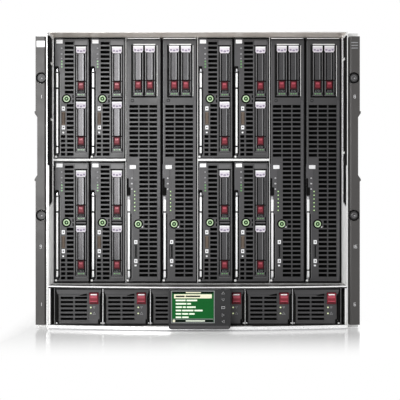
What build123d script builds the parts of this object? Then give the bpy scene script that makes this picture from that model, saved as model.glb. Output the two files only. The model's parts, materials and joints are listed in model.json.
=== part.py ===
"""Blade server chassis: a ten-unit rack enclosure with twelve blades and six power supplies.

The origin is the middle of the underside. X runs to the right seen from the front, the front
faces -Y and Z points up. All lengths are in millimetres.
"""

from build123d import *
from math import sqrt
import os

os.makedirs("parts", exist_ok=True)

# Outer sleeve
enclosure_width = 447.0
enclosure_height = 442.0
enclosure_depth = 813.0
sleeve_wall = 1.2

# Clearances
slide_gap = 0.4
hinge_gap = 0.1
hole_flats = 6
button_gap = 0.2

# Rack ears and their screws
ear_reach = 17.8
ear_cover_depth = 18.0
ear_cover_rim = 2.5
ear_side_gap = 2.2
ear_bottom_gap = 5.5
ear_top_gap = 7.0
ear_upper_notch_drop = 121.4
ear_lower_notch_z = 222.4
ear_notch_depth = 2.4
ear_notch_slope = 6.0
ear_lip_height = 3.0
flange_thickness = 2.0
screw_outset = 9.05
screw_top_drop = 69.0
screw_low_z = 168.5
screw_shank_radius = 2.9
screw_shank_length = 12.0
screw_opening = 8.4
knob_radius = 7.0
knob_sides = 16
knob_sunk = 1.0
knob_opening_radius = 8.4

# Power bay under the blades
deck_top = 63.9
deck_thickness = 2.0
deck_lip_height = 3.5
deck_lip_thickness = 2.0
front_bow = 22.0
pan_top = 5.5
psu_count = 6
psu_divider = 1.0
psu_spacer = 10.5
psu_height = 53.8
psu_cable_room = 84.0
psu_bezel_depth = 14.0
psu_skin = 2.0
psu_front_recess = 1.0
psu_slot_rows = 6
psu_slot_pitch = 6.25
psu_slot_height = 3.6
psu_slot_margin = 3.3
psu_slot_to_latch = 3.7
psu_slot_low = 14.3
psu_rib_width = 2.3
latch_margin = 2.1
latch_width = 13.4
latch_low_z = 36.6
latch_height = 17.0
latch_proud = 4.0
latch_bevel = 1.6
bail_arm = 3.0
bail_depth = 6.0
bail_band_height = 8.4
bail_pivot_height = 6.0
bail_pin_radius = 1.5

# Half-height and full-height blades
column_count = 8
column_side_gap = 0.9
blade_gap = 1.3
blade_recess = 50.0
blade_length = 480.0
bezel_depth = 22.0
bezel_skin = 2.0
bezel_wall = 2.2
bezel_corner = 5.0
lever_rail = 8.5
partition_thickness = 0.8
shelf_thickness = 3.2
shelf_nose = 6.0
shelf_length = 300.0
tub_inset = 0.5
liner_thickness = 1.0

# Vent slots in the blade bezels
slot_height = 4.5
slot_pitch = 6.82
slot_to_drive = 2.7
half_slot_margin = 15.5
half_slot_low_margin = 18.5
half_slot_bottom_margin = 9.5
half_slot_drop = 8.85
half_slot_floor = 6.7
half_wide_rows = 12
half_bottom_rows = 5
half_rib_margin = 16.1
half_rib_width = 2.4
full_slot_margin = 4.6
full_slot_low_margin = 19.8
full_slot_right_margin = 6.6
full_slot_drop = 105.9
full_slot_floor = 11.0
full_wide_rows = 12
full_rib_margin = 18.0
full_rib_pitch = 15.2
full_rib_width = 1.8
rib_depth = 2.0

# Drives
drive_pair_margin = 19.0
drive_side_gap = 0.6
drive_bay_margin = 16.85
drive_bar_height = 7.2
drive_frame_depth = 8.0
drive_body_inset = 1.4
drive_body_length = 96.0
drive_proud = 1.0
drive_dish_depth = 2.0
drive_dish_margin = 1.0
drive_lever_margin = 4.0
drive_lever_low = 24.4
drive_lever_drop = 10.0
drive_key_margin = 3.9
drive_key_low = 10.4
drive_key_height = 12.6
drive_key_step = 0.8
half_drive_margin = 4.5
half_drive_low = 10.3
full_drive_x = 0.3
full_drive_drop = 89.8

# Release lever of a blade
lever_margin = 1.7
lever_width = 3.4
lever_length = 124.0
lever_thickness = 3.0
lever_proud = 0.8
lever_pivot_height = 8.0
lever_pivot_back = 2.6
lever_pin_radius = 1.3
lever_foot_radius = 3.4
lever_channel_depth = 7.2
lever_channel_low = 3.6
lever_channel_width = 6.3
edge_relief_width = 1.6
edge_relief_length = 48.0
lever_catch_height = 8.0
lever_catch_depth = 3.0

# Power button and pull tab of a blade
button_shift = -0.6
button_radius = 5.0
button_depth = 6.0
button_proud = 0.8
half_button_z = 92.0
full_button_z = 89.7
slot_to_button = 9.6
slot_least = 1.0
tab_margin = 13.5
tab_width = 5.8
tab_height = 20.4
tab_card_thickness = 1.2
tab_card_length = 70.0
tab_lip = 2.4
half_tab_low = 51.5
full_tab_low = 37.6

# Sliding display in front of the power supplies
display_x = 2.6
display_width = 90.0
display_low_z = 3.8
display_high_z = 61.6
display_thickness = 10.0
display_front = 36.0
display_corner = 4.0
screen_width = 63.6
screen_height = 47.6
screen_left = 3.6
screen_low = 8.6
screen_recess = 1.2
key_x = 34.4
key_width = 6.0
key_height = 4.4
key_proud = 0.6
key_depth = 3.0
key_travel = 0.8
key_heights = (11.3, 20.5, 42.9, 52.6)
select_key_height = 31.6
carriage_width = 78.0
carriage_thickness = 3.0
carriage_front = 16.0
carriage_top_z = 57.0
carriage_foot_width = 60.0
carriage_foot_thickness = 2.4
carriage_foot_depth = 2.8
display_travel = 46.0
hinge_z = 56.0
hinge_front = 29.0
hinge_pin_radius = 1.5
hinge_knuckle_radius = 2.6
hinge_arm_width = 5.0
hinge_arm_x = 34.0

# Rear of the enclosure
midplane_thickness = 6.0
header_width = 18.0
header_height = 180.0
header_depth = 9.0
rear_shelf = 1.0
rear_air_gap = 27.6
fan_row_height = 88.0
fan_count = 5
fan_rim = 6.0
fan_sides = 12
fan_pocket_depth = 5.0
admin_row_height = 28.0
interconnect_rows = 4
port_banks = 2
port_bank_width = 62.0
port_bank_height = 14.0
port_bank_pitch = 70.0
port_depth = 3.0
port_shift = 20.0
inlet_margin = 5.4
inlet_height = 46.0
inlet_length = 38.0
socket_width = 31.0
socket_height = 23.0
socket_depth = 19.0

# Places worked out from the sizes above
front_y = -enclosure_depth / 2
rear_y = enclosure_depth / 2
inner_half = enclosure_width / 2 - sleeve_wall
ceiling_z = enclosure_height - sleeve_wall
deck_bottom = deck_top - deck_thickness
blade_front_y = front_y + blade_recess
blade_rear_y = blade_front_y + blade_length
midplane_y = blade_rear_y + slide_gap
ear_span = enclosure_width + 2 * ear_reach
screw_spacing_x = enclosure_width + 2 * screw_outset
screw_heights = (screw_low_z, enclosure_height - screw_top_drop)
column_pitch = 2 * (inner_half - liner_thickness - column_side_gap) / column_count
blade_width = column_pitch - blade_gap
blade_half = blade_width / 2
full_height = ceiling_z - deck_top - 2 * slide_gap
half_height = (ceiling_z - deck_top - shelf_thickness - 4 * slide_gap) / 2
lower_blade_z = deck_top + slide_gap
shelf_z = lower_blade_z + half_height + slide_gap
upper_blade_z = shelf_z + shelf_thickness + slide_gap
psu_pitch = 2 * (inner_half - psu_spacer) / psu_count
psu_width = psu_pitch - psu_divider - 2 * slide_gap
psu_z = pan_top + slide_gap
psu_front_y = front_y + psu_front_recess
psu_rear_y = rear_y - inlet_length - psu_cable_room
psu_body_length = psu_rear_y - psu_front_y - psu_bezel_depth
psu_side = psu_count * psu_pitch / 2
drive_width = (blade_width - drive_pair_margin) / 2
drive_pitch = (half_height - drive_bay_margin) / 2
drive_height = drive_pitch - drive_bar_height
half_drive_x = blade_half - half_drive_margin - drive_width / 2
lever_left = lever_margin - blade_half
lever_channel_right = lever_channel_width - blade_half
bay_edge = half_drive_x - drive_width / 2 - slide_gap
button_x = (lever_channel_right + bay_edge) / 2 + button_shift
tab_x = tab_margin - blade_half


def front_plane(y):
    """Plane facing the viewer at depth y, with X to the right and Z up."""
    return Plane.XZ.offset(-y)


def side_plane(x):
    """Plane across the enclosure at x, with Y and Z as its own axes."""
    return Plane.YZ.offset(x)


def pin_hole(radius):
    """Hole with flats on which a round pin turns freely, in the sketch that is open."""
    RegularPolygon(radius + hinge_gap, hole_flats, major_radius=False, mode=Mode.SUBTRACT)


def area(left, right, low, high, mode=Mode.ADD):
    """Rectangle between two corners, in the sketch that is open."""
    with Locations(((left + right) / 2, (low + high) / 2)):
        Rectangle(right - left, high - low, mode=mode)


def save(piece, name):
    """Label a finished piece and write it."""
    piece.part.label = name
    export_step(piece.part, f"parts/{name}.step")


def save_group(pieces, name):
    """Write several separate solids of one sub-part as one group."""
    group = Compound(label=name, children=[piece.part for piece in pieces])
    export_step(group, f"parts/{name}.step")


# Outer sleeve with the rack flanges on its sides
with BuildPart() as enclosure_shell:
    with BuildSketch(front_plane(front_y)):
        area(-enclosure_width / 2, enclosure_width / 2, 0, enclosure_height)
        area(-inner_half, inner_half, sleeve_wall, ceiling_z, mode=Mode.SUBTRACT)
    extrude(amount=-enclosure_depth)
    with BuildSketch(front_plane(front_y + ear_cover_depth)):
        for side in (-1, 1):
            outer = side * ear_span / 2
            inner = side * inner_half
            area(min(outer, inner), max(outer, inner), 0, enclosure_height)
            for z in screw_heights:
                with Locations((side * screw_spacing_x / 2, z)):
                    Rectangle(screw_opening, screw_opening, mode=Mode.SUBTRACT)
    extrude(amount=-flange_thickness)
save(enclosure_shell, "enclosure_shell")


# Moulded ear covers, stepped at two lips, with a round opening for each screw knob
def build_ear(side, name):
    outer = ear_span / 2
    inner = enclosure_width / 2 + ear_side_gap
    top = enclosure_height - ear_top_gap
    upper_notch_z = enclosure_height - ear_upper_notch_drop
    outline = [
        (inner, ear_bottom_gap),
        (outer, ear_bottom_gap),
        (outer, ear_lower_notch_z - ear_lip_height),
        (outer + ear_lip_height / 2, ear_lower_notch_z - ear_lip_height),
        (outer + ear_lip_height / 2, ear_lower_notch_z),
        (outer - ear_notch_depth, ear_lower_notch_z + ear_notch_slope),
        (outer - ear_notch_depth, upper_notch_z - ear_notch_slope),
        (outer + ear_lip_height / 2, upper_notch_z),
        (outer + ear_lip_height / 2, upper_notch_z + ear_lip_height),
        (outer, upper_notch_z + ear_lip_height),
        (outer, top),
        (inner, top),
    ]
    with BuildPart() as ear:
        with BuildSketch(front_plane(front_y)):
            with BuildLine():
                Polyline([(side * x, z) for x, z in outline], close=True)
            make_face()
        extrude(amount=-ear_cover_depth)
        front_rim = ear.faces().sort_by(Axis.Y)[0].edges().filter_by(Axis.Z)
        chamfer(front_rim.group_by(Axis.X)[0 if side > 0 else -1], ear_cover_rim)
        for z in screw_heights:
            with Locations(front_plane(front_y)):
                with Locations((side * screw_spacing_x / 2, z)):
                    Hole(knob_opening_radius)
    save(ear, name)


build_ear(-1, "ear_left")
build_ear(1, "ear_right")

# Captive screws, each a knob turned in one piece with its shank
with BuildPart() as ear_screws:
    seat_y = front_y + ear_cover_depth
    screw_places = [
        (side * screw_spacing_x / 2, z) for side in (-1, 1) for z in screw_heights
    ]
    with BuildSketch(front_plane(seat_y)):
        with Locations(*screw_places):
            RegularPolygon(knob_radius, knob_sides)
    extrude(amount=ear_cover_depth - knob_sunk)
    with BuildSketch(front_plane(seat_y)):
        with Locations(*screw_places):
            Circle(screw_shank_radius)
    extrude(amount=-screw_shank_length)
save(ear_screws, "ear_screws")

# Zinc-plated liners on the inner sides, each with a long window beside the upper blades
window_front = 2.0
window_back = 41.0
window_low = 180.0
window_rise = 9.0
window_top_gap = 4.0
with BuildPart() as side_liners:
    for side in (-1, 1):
        with BuildSketch(side_plane(side * inner_half)):
            area(front_y + window_front / 2, midplane_y, deck_top, ceiling_z)
            with BuildLine():
                Polyline(
                    (front_y + window_front, window_low),
                    (front_y + window_back, window_low + window_rise),
                    (front_y + window_back, ceiling_z - window_top_gap),
                    (front_y + window_front, ceiling_z - window_top_gap),
                    close=True,
                )
            make_face(mode=Mode.SUBTRACT)
        extrude(amount=-side * liner_thickness)
save(side_liners, "side_liners")

# Partitions between pairs of columns, and the shelves between half-height blades
partition_places = [-2 * column_pitch, 0.0, 2 * column_pitch]
liner_face = inner_half - liner_thickness
shelf_spans = [
    (-liner_face, partition_places[0] - partition_thickness / 2),
    (partition_thickness / 2, partition_places[2] - partition_thickness / 2),
]
shelf_front_y = blade_front_y - shelf_nose
with BuildPart() as partitions:
    for x in partition_places:
        with BuildSketch(side_plane(x)):
            area(blade_front_y, midplane_y, deck_top, ceiling_z)
        extrude(amount=partition_thickness / 2, both=True)
with BuildPart() as half_shelves:
    for left, right in shelf_spans:
        with BuildSketch(Plane.XY.offset(shelf_z)):
            area(left, right, shelf_front_y, shelf_front_y + shelf_length)
        extrude(amount=shelf_thickness)
save_group([partitions, half_shelves], "bay_dividers")


# Power bay: bowed deck and floor pan, dividers and side spacers
def bowed_outline(half, back_y):
    """Plan outline with a bowed front edge, in the line builder that is open."""
    ThreePointArc((-half, front_y), (0, front_y - front_bow), (half, front_y))
    Polyline((half, front_y), (half, back_y), (-half, back_y), (-half, front_y))


def bow_band(half, thickness):
    """Plan strip that follows the bowed front edge, in the line builder that is open."""
    ThreePointArc((-half, front_y), (0, front_y - front_bow), (half, front_y))
    Line((half, front_y), (half, front_y + thickness))
    ThreePointArc(
        (half, front_y + thickness),
        (0, front_y - front_bow + thickness),
        (-half, front_y + thickness),
    )
    Line((-half, front_y + thickness), (-half, front_y))


groove_half = display_travel + carriage_foot_width / 2 + abs(display_x) + 1.0
groove_y = front_y - carriage_front + carriage_thickness / 2
groove_depth = carriage_foot_depth + slide_gap
groove_width = carriage_foot_thickness + 2 * slide_gap
with BuildPart() as power_floors:
    with BuildSketch(Plane.XY.offset(deck_bottom)):
        with BuildLine():
            bowed_outline(inner_half, rear_y)
        make_face()
    extrude(amount=deck_thickness)
    with BuildSketch(Plane.XY.offset(deck_top - deck_lip_height)):
        with BuildLine():
            bow_band(inner_half, deck_lip_thickness)
        make_face()
    extrude(amount=deck_lip_height)
    with BuildSketch(Plane.XY.offset(sleeve_wall)):
        with BuildLine():
            bowed_outline(inner_half, rear_y)
        make_face()
    extrude(amount=pan_top - sleeve_wall)
    with BuildSketch(Plane.XY):
        with BuildLine():
            ThreePointArc((-inner_half, front_y), (0, front_y - front_bow), (inner_half, front_y))
            Line((inner_half, front_y), (-inner_half, front_y))
        make_face()
    extrude(amount=sleeve_wall)
    with BuildSketch(Plane.XY.offset(pan_top)):
        with Locations((0, groove_y)):
            Rectangle(2 * groove_half, groove_width)
    extrude(amount=-groove_depth, mode=Mode.SUBTRACT)

divider_front_y = psu_front_y + psu_bezel_depth / 2
with BuildPart() as power_dividers:
    for index in range(1, psu_count):
        x = index * psu_pitch - psu_side
        with BuildSketch(side_plane(x)):
            area(divider_front_y, psu_rear_y, pan_top, deck_bottom)
        extrude(amount=psu_divider / 2, both=True)
    for side in (-1, 1):
        with BuildSketch(front_plane(divider_front_y)):
            near = side * (psu_side - psu_divider / 2)
            far = side * inner_half
            area(min(near, far), max(near, far), pan_top, deck_bottom)
        extrude(amount=-(psu_rear_y - divider_front_y))
save_group([power_floors, power_dividers], "power_cage")

# Midplane with one block of headers behind each column
with BuildPart() as midplane:
    with BuildSketch(front_plane(midplane_y)):
        area(-liner_face, liner_face, deck_top, ceiling_z)
    extrude(amount=-midplane_thickness)
    with BuildSketch(front_plane(midplane_y + midplane_thickness)):
        with Locations((0, (deck_top + ceiling_z) / 2)):
            with GridLocations(column_pitch, 0, column_count, 1):
                Rectangle(header_width, header_height)
    extrude(amount=-header_depth)
save(midplane, "midplane")

# Rear rows from the deck upwards: fans, management, interconnects, fans
interconnect_height = (
    ceiling_z
    - deck_top
    - 2 * fan_row_height
    - admin_row_height
    - (interconnect_rows + 2) * rear_shelf
) / interconnect_rows
rear_rows = [("fan", fan_row_height), ("admin", admin_row_height)]
rear_rows += [("interconnect", interconnect_height)] * interconnect_rows
rear_rows += [("fan", fan_row_height)]
row_floors = []
next_floor = deck_top
for _, row_height in rear_rows:
    row_floors.append(next_floor)
    next_floor += row_height + rear_shelf
module_front_y = midplane_y + midplane_thickness + header_depth + rear_air_gap
rear_module_length = rear_y - module_front_y

with BuildPart() as rear_shelves:
    for row_floor in row_floors[1:]:
        with BuildSketch(Plane.XY.offset(row_floor - rear_shelf)):
            area(-inner_half, inner_half, module_front_y, rear_y)
        extrude(amount=rear_shelf)
with BuildPart() as rear_partitions:
    for row_floor, (_, row_height) in zip(row_floors[1:-1], rear_rows[1:-1]):
        with BuildSketch(side_plane(0)):
            area(module_front_y, rear_y, row_floor, row_floor + row_height)
        extrude(amount=rear_shelf / 2, both=True)
save_group([rear_shelves, rear_partitions], "rear_cage")

fan_pitch = 2 * inner_half / fan_count
fan_radius = min(fan_pitch, fan_row_height) / 2 - fan_rim
fan_places = [
    ((index + 0.5) * fan_pitch - inner_half, row_floor + fan_row_height / 2)
    for row_floor in (row_floors[0], row_floors[-1])
    for index in range(fan_count)
]
with BuildPart() as fan_modules:
    with BuildSketch(front_plane(module_front_y)):
        with Locations(*fan_places):
            Rectangle(fan_pitch - 2 * slide_gap, fan_row_height - 2 * slide_gap)
    extrude(amount=-rear_module_length)
    with BuildSketch(front_plane(rear_y)):
        with Locations(*fan_places):
            RegularPolygon(fan_radius, fan_sides)
    extrude(amount=fan_pocket_depth, mode=Mode.SUBTRACT)
save(fan_modules, "fan_modules")

module_width = inner_half - rear_shelf / 2 - 2 * slide_gap
module_x = rear_shelf / 2 + slide_gap + module_width / 2


def build_rear_modules(rows, name):
    """Pairs of slide-in modules, one each side of the centre partition."""
    with BuildPart() as modules:
        for row_floor, row_height in rows:
            for side in (-1, 1):
                with BuildSketch(front_plane(module_front_y)):
                    with Locations((side * module_x, row_floor + row_height / 2)):
                        Rectangle(module_width, row_height - 2 * slide_gap)
                extrude(amount=-rear_module_length)
                with BuildSketch(front_plane(rear_y)):
                    with Locations((side * module_x + port_shift, row_floor + row_height / 2)):
                        with GridLocations(port_bank_pitch, 0, port_banks, 1):
                            Rectangle(port_bank_width, port_bank_height)
                extrude(amount=port_depth, mode=Mode.SUBTRACT)
    save(modules, name)


middle_rows = list(zip(row_floors, [row_height for _, row_height in rear_rows]))
build_rear_modules(middle_rows[2:-1], "interconnect_modules")
build_rear_modules(middle_rows[1:2], "admin_modules")

# Mains inlets behind the power supplies, each with an open socket
psu_centres = [(index + 0.5) * psu_pitch - psu_side for index in range(psu_count)]
inlet_width = psu_width - 2 * inlet_margin
inlet_places = [(x, pan_top + inlet_height / 2) for x in psu_centres]
with BuildPart() as power_inlets:
    with BuildSketch(front_plane(rear_y - inlet_length)):
        with Locations(*inlet_places):
            Rectangle(inlet_width, inlet_height)
    extrude(amount=-inlet_length)
    with BuildSketch(front_plane(rear_y)):
        with Locations(*inlet_places):
            Rectangle(socket_width, socket_height)
    extrude(amount=socket_depth, mode=Mode.SUBTRACT)
save(power_inlets, "power_inlets")


# Power supply with a slotted face, a squeeze latch and pins for its bail
bail_outer = psu_width / 2
bail_inner = bail_outer - bail_arm
bezel_half = bail_inner - slide_gap
bail_pivot_z = psu_z + bail_pivot_height
bail_front_y = psu_front_y - bail_depth / 2
psu_top = psu_z + psu_height
band_low = psu_top - bail_band_height
latch_left = bezel_half - latch_margin - latch_width
psu_slot_left = psu_slot_margin - bezel_half
psu_slot_right = latch_left - psu_slot_to_latch
psu_rib_x = (psu_slot_left + psu_slot_right) / 2


def build_power_supply(x, name):
    with BuildPart() as supply:
        with BuildSketch(front_plane(psu_front_y + psu_bezel_depth)):
            area(x - psu_width / 2, x + psu_width / 2, psu_z, psu_top)
        extrude(amount=-psu_body_length)
        with BuildSketch(front_plane(psu_front_y)):
            area(x - bezel_half, x + bezel_half, psu_z, psu_top)
        extrude(amount=-psu_bezel_depth)
        with BuildSketch(front_plane(psu_front_y + psu_skin)):
            area(
                x - bezel_half + psu_skin,
                x + latch_left - psu_skin,
                psu_z + psu_skin,
                psu_top - psu_skin,
            )
        extrude(amount=-(psu_bezel_depth - psu_skin), mode=Mode.SUBTRACT)
        with BuildSketch(front_plane(psu_front_y)):
            for row in range(psu_slot_rows):
                z = psu_slot_low + row * psu_slot_pitch
                area(
                    x + psu_slot_left,
                    x + psu_slot_right,
                    z - psu_slot_height / 2,
                    z + psu_slot_height / 2,
                )
        extrude(amount=-psu_skin, mode=Mode.SUBTRACT)
        with BuildSketch(front_plane(psu_front_y)):
            area(x - bezel_half, x + bezel_half, band_low - slide_gap, psu_top)
        extrude(amount=-(bail_depth / 2 + slide_gap), mode=Mode.SUBTRACT)
        for side in (-1, 1):
            with BuildSketch(side_plane(x + side * bezel_half)):
                with Locations((psu_front_y, bail_pivot_z)):
                    Circle(bail_pin_radius)
            extrude(amount=side * (bail_arm + slide_gap))
    rib_plane = front_plane(psu_front_y + psu_skin)
    with BuildPart() as rib:
        with BuildSketch(rib_plane):
            area(
                x + psu_rib_x - psu_rib_width / 2,
                x + psu_rib_x + psu_rib_width / 2,
                psu_z + psu_skin,
                band_low - slide_gap,
            )
        extrude(amount=-rib_depth)
    with BuildPart() as latch:
        with BuildSketch(front_plane(psu_front_y)):
            area(
                x + latch_left,
                x + latch_left + latch_width,
                latch_low_z,
                latch_low_z + latch_height,
            )
        extrude(amount=latch_proud)
        chamfer(latch.edges().filter_by(Axis.X).group_by(Axis.Y)[0], latch_bevel)
    save_group([supply, rib, latch], name)


def arm_outline(front, back, pivot_z, top):
    """Arm whose foot wraps its pivot with clipped corners, in the line builder that is open."""
    reach = (back - front) / 2
    clip = reach * (2 - sqrt(2))
    Polyline(
        (front, top),
        (front, pivot_z - reach + clip),
        (front + clip, pivot_z - reach),
        (back - clip, pivot_z - reach),
        (back, pivot_z - reach + clip),
        (back, top),
        close=True,
    )


# Bail around the face of a power supply, notched beside the latch
def build_bail(x, name):
    with BuildPart() as bail:
        with BuildSketch(front_plane(bail_front_y)):
            area(x - bail_outer, x + bail_outer, band_low, psu_top)
            area(
                x + latch_left - slide_gap,
                x + latch_left + latch_width + slide_gap,
                band_low,
                latch_low_z + latch_height + slide_gap,
                mode=Mode.SUBTRACT,
            )
        extrude(amount=-bail_depth)
        for side in (-1, 1):
            with BuildSketch(side_plane(x + side * bail_outer)):
                with BuildLine():
                    arm_outline(bail_front_y, bail_front_y + bail_depth, bail_pivot_z, band_low)
                make_face()
                with Locations((psu_front_y, bail_pivot_z)):
                    pin_hole(bail_pin_radius)
            extrude(amount=-side * bail_arm)
    save(bail, name)


for index, x in enumerate(psu_centres, start=1):
    build_power_supply(x, f"power_supply_{index}")
    build_bail(x, f"power_supply_{index}_bail")

# Display carriage, with a foot in the groove of the lip and two hinge arms
display_left = display_x - display_width / 2
display_right = display_x + display_width / 2
head_front_y = front_y - display_front
head_back_y = head_front_y + display_thickness
hinge_y = front_y - hinge_front
carriage_front_y = front_y - carriage_front
hinge_places = [display_x - hinge_arm_x, display_x + hinge_arm_x]
with BuildPart() as display_carriage:
    with BuildSketch(front_plane(carriage_front_y)):
        area(
            display_x - carriage_width / 2,
            display_x + carriage_width / 2,
            pan_top + slide_gap,
            carriage_top_z,
        )
    extrude(amount=-carriage_thickness)
    with BuildSketch(front_plane(groove_y - carriage_foot_thickness / 2)):
        area(
            display_x - carriage_foot_width / 2,
            display_x + carriage_foot_width / 2,
            pan_top - carriage_foot_depth,
            pan_top + 2 * slide_gap,
        )
    extrude(amount=-carriage_foot_thickness)
    for x in hinge_places:
        with BuildSketch(side_plane(x)):
            area(
                hinge_y,
                carriage_front_y + carriage_thickness,
                hinge_z - hinge_knuckle_radius,
                hinge_z + hinge_knuckle_radius,
            )
            with Locations((hinge_y, hinge_z)):
                Circle(hinge_knuckle_radius)
                pin_hole(hinge_pin_radius)
        extrude(amount=hinge_arm_width / 2, both=True)
save(display_carriage, "display_carriage")

# Display head, open behind at its two hinge pins
screen_bottom = display_low_z + screen_low
pocket_depth = key_depth + key_travel + button_gap
notch_half = hinge_arm_width / 2 + slide_gap
notch_front_y = hinge_y - hinge_knuckle_radius - slide_gap
notch_low_z = hinge_z - hinge_knuckle_radius - slide_gap
with BuildPart() as display_head:
    with BuildSketch(front_plane(head_front_y)):
        with Locations((display_x, (display_low_z + display_high_z) / 2)):
            RectangleRounded(display_width, display_high_z - display_low_z, display_corner)
    extrude(amount=-display_thickness)
    with BuildSketch(front_plane(head_front_y)):
        area(
            display_left + screen_left,
            display_left + screen_left + screen_width,
            screen_bottom,
            screen_bottom + screen_height,
        )
    extrude(amount=-screen_recess, mode=Mode.SUBTRACT)
    with BuildSketch(front_plane(head_front_y)):
        for height in key_heights:
            with Locations((display_x + key_x, display_low_z + height)):
                Rectangle(key_width, key_height)
    extrude(amount=key_proud)
    with BuildSketch(front_plane(head_front_y)):
        with Locations((display_x + key_x, display_low_z + select_key_height)):
            Rectangle(key_width + 2 * button_gap, key_height + 2 * button_gap)
    extrude(amount=-pocket_depth, mode=Mode.SUBTRACT)
    for x in hinge_places:
        with BuildSketch(side_plane(x)):
            area(notch_front_y, head_back_y, notch_low_z, display_high_z)
        extrude(amount=notch_half, both=True, mode=Mode.SUBTRACT)
        with BuildSketch(side_plane(x)):
            with Locations((hinge_y, hinge_z)):
                Circle(hinge_pin_radius)
        extrude(amount=notch_half, both=True)
save(display_head, "display_head")

with BuildPart() as select_key:
    with BuildSketch(front_plane(head_front_y - key_proud)):
        with Locations((display_x + key_x, display_low_z + select_key_height)):
            Rectangle(key_width, key_height)
    extrude(amount=-(key_depth + key_proud))
save(select_key, "display_select_key")


# Drive in its carrier, with a handle and an eject key standing in a dished face
def build_drive(x, z, apart):
    front = blade_front_y - drive_proud
    dish_half = drive_width / 2 - drive_dish_margin
    lever_half = drive_width / 2 - drive_lever_margin
    key_half = drive_width / 2 - drive_key_margin
    lever_top = z + drive_height - drive_lever_drop
    with BuildPart() as drive:
        with BuildSketch(front_plane(front)):
            area(x - drive_width / 2, x + drive_width / 2, z, z + drive_height)
        extrude(amount=-(drive_frame_depth if apart else drive_proud + bezel_depth))
        with BuildSketch(front_plane(front)):
            area(
                x - dish_half,
                x + dish_half,
                z + drive_key_low,
                lever_top,
            )
            area(
                x - lever_half,
                x + lever_half,
                z + drive_lever_low,
                lever_top,
                mode=Mode.SUBTRACT,
            )
        extrude(amount=-drive_dish_depth, mode=Mode.SUBTRACT)
        with BuildSketch(front_plane(front - drive_key_step)):
            area(
                x - key_half,
                x + key_half,
                z + drive_key_low,
                z + drive_key_low + drive_key_height,
            )
        extrude(amount=-(drive_dish_depth + drive_key_step))
        if apart:
            with BuildSketch(front_plane(front + drive_frame_depth)):
                area(
                    x - drive_width / 2 + drive_body_inset,
                    x + drive_width / 2 - drive_body_inset,
                    z + drive_body_inset,
                    z + drive_height - drive_body_inset,
                )
            extrude(amount=-drive_body_length)
    return drive


def build_button(x, z):
    """Round power button in its hole."""
    with BuildPart() as button:
        with BuildSketch(front_plane(blade_front_y - button_proud)):
            with Locations((x, z)):
                Circle(button_radius)
        extrude(amount=-button_depth)
    return button


def build_tab(x, z):
    """Pull tab: a finger lip on a thin card."""
    with BuildPart() as tab:
        with BuildSketch(front_plane(blade_front_y)):
            area(x - tab_width / 2, x + tab_width / 2, z, z + tab_height)
        extrude(amount=-tab_lip)
        with BuildSketch(front_plane(blade_front_y + tab_lip)):
            area(x - tab_card_thickness / 2, x + tab_card_thickness / 2, z, z + tab_height)
        extrude(amount=-tab_card_length)
    return tab


def build_lever(x, z):
    """Release lever: a flat bar on a wider foot, with a catch at its head."""
    bar_front = blade_front_y - lever_proud
    bar_back = bar_front + lever_thickness
    pivot_y = blade_front_y + lever_pivot_back
    pivot_z = z + lever_pivot_height
    foot_top = pivot_z + lever_foot_radius
    top_z = pivot_z + lever_length
    with BuildPart() as lever:
        with BuildSketch(side_plane(x + lever_left)):
            with BuildLine():
                Polyline(
                    (bar_front, foot_top),
                    (bar_front, top_z),
                    (bar_back + lever_catch_depth, top_z),
                    (bar_back, top_z - lever_catch_height),
                    (bar_back, foot_top),
                    close=True,
                )
            make_face()
            with BuildLine():
                arm_outline(bar_front, 2 * pivot_y - bar_front, pivot_z, foot_top)
            make_face()
            with Locations((pivot_y, pivot_z)):
                pin_hole(lever_pin_radius)
        extrude(amount=lever_width)
    return lever


def draw_slots(x, z, top_slot, rows, left_edges, right_edge, button):
    """Vent slots, cut short or left out at the power button, in the sketch that is open."""
    button_left, button_z = button
    for row in range(rows):
        slot_z = top_slot - row * slot_pitch
        left_edge = left_edges[row]
        rise = abs(slot_z - button_z)
        if rise < slot_to_button:
            left_edge = max(left_edge, button_left + sqrt(slot_to_button**2 - rise**2))
        if right_edge - left_edge > slot_least:
            area(
                x + left_edge,
                x + right_edge,
                z + slot_z - slot_height / 2,
                z + slot_z + slot_height / 2,
            )


def build_rib(x, z, left, width, high, low):
    """Upright behind the slots, from the highest slot it crosses to the lowest."""
    with BuildPart() as rib:
        with BuildSketch(front_plane(blade_front_y + bezel_skin)):
            area(x + left, x + left + width, z + low - slot_height, z + high + slot_height)
        extrude(amount=-rib_depth)
    return rib


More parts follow.
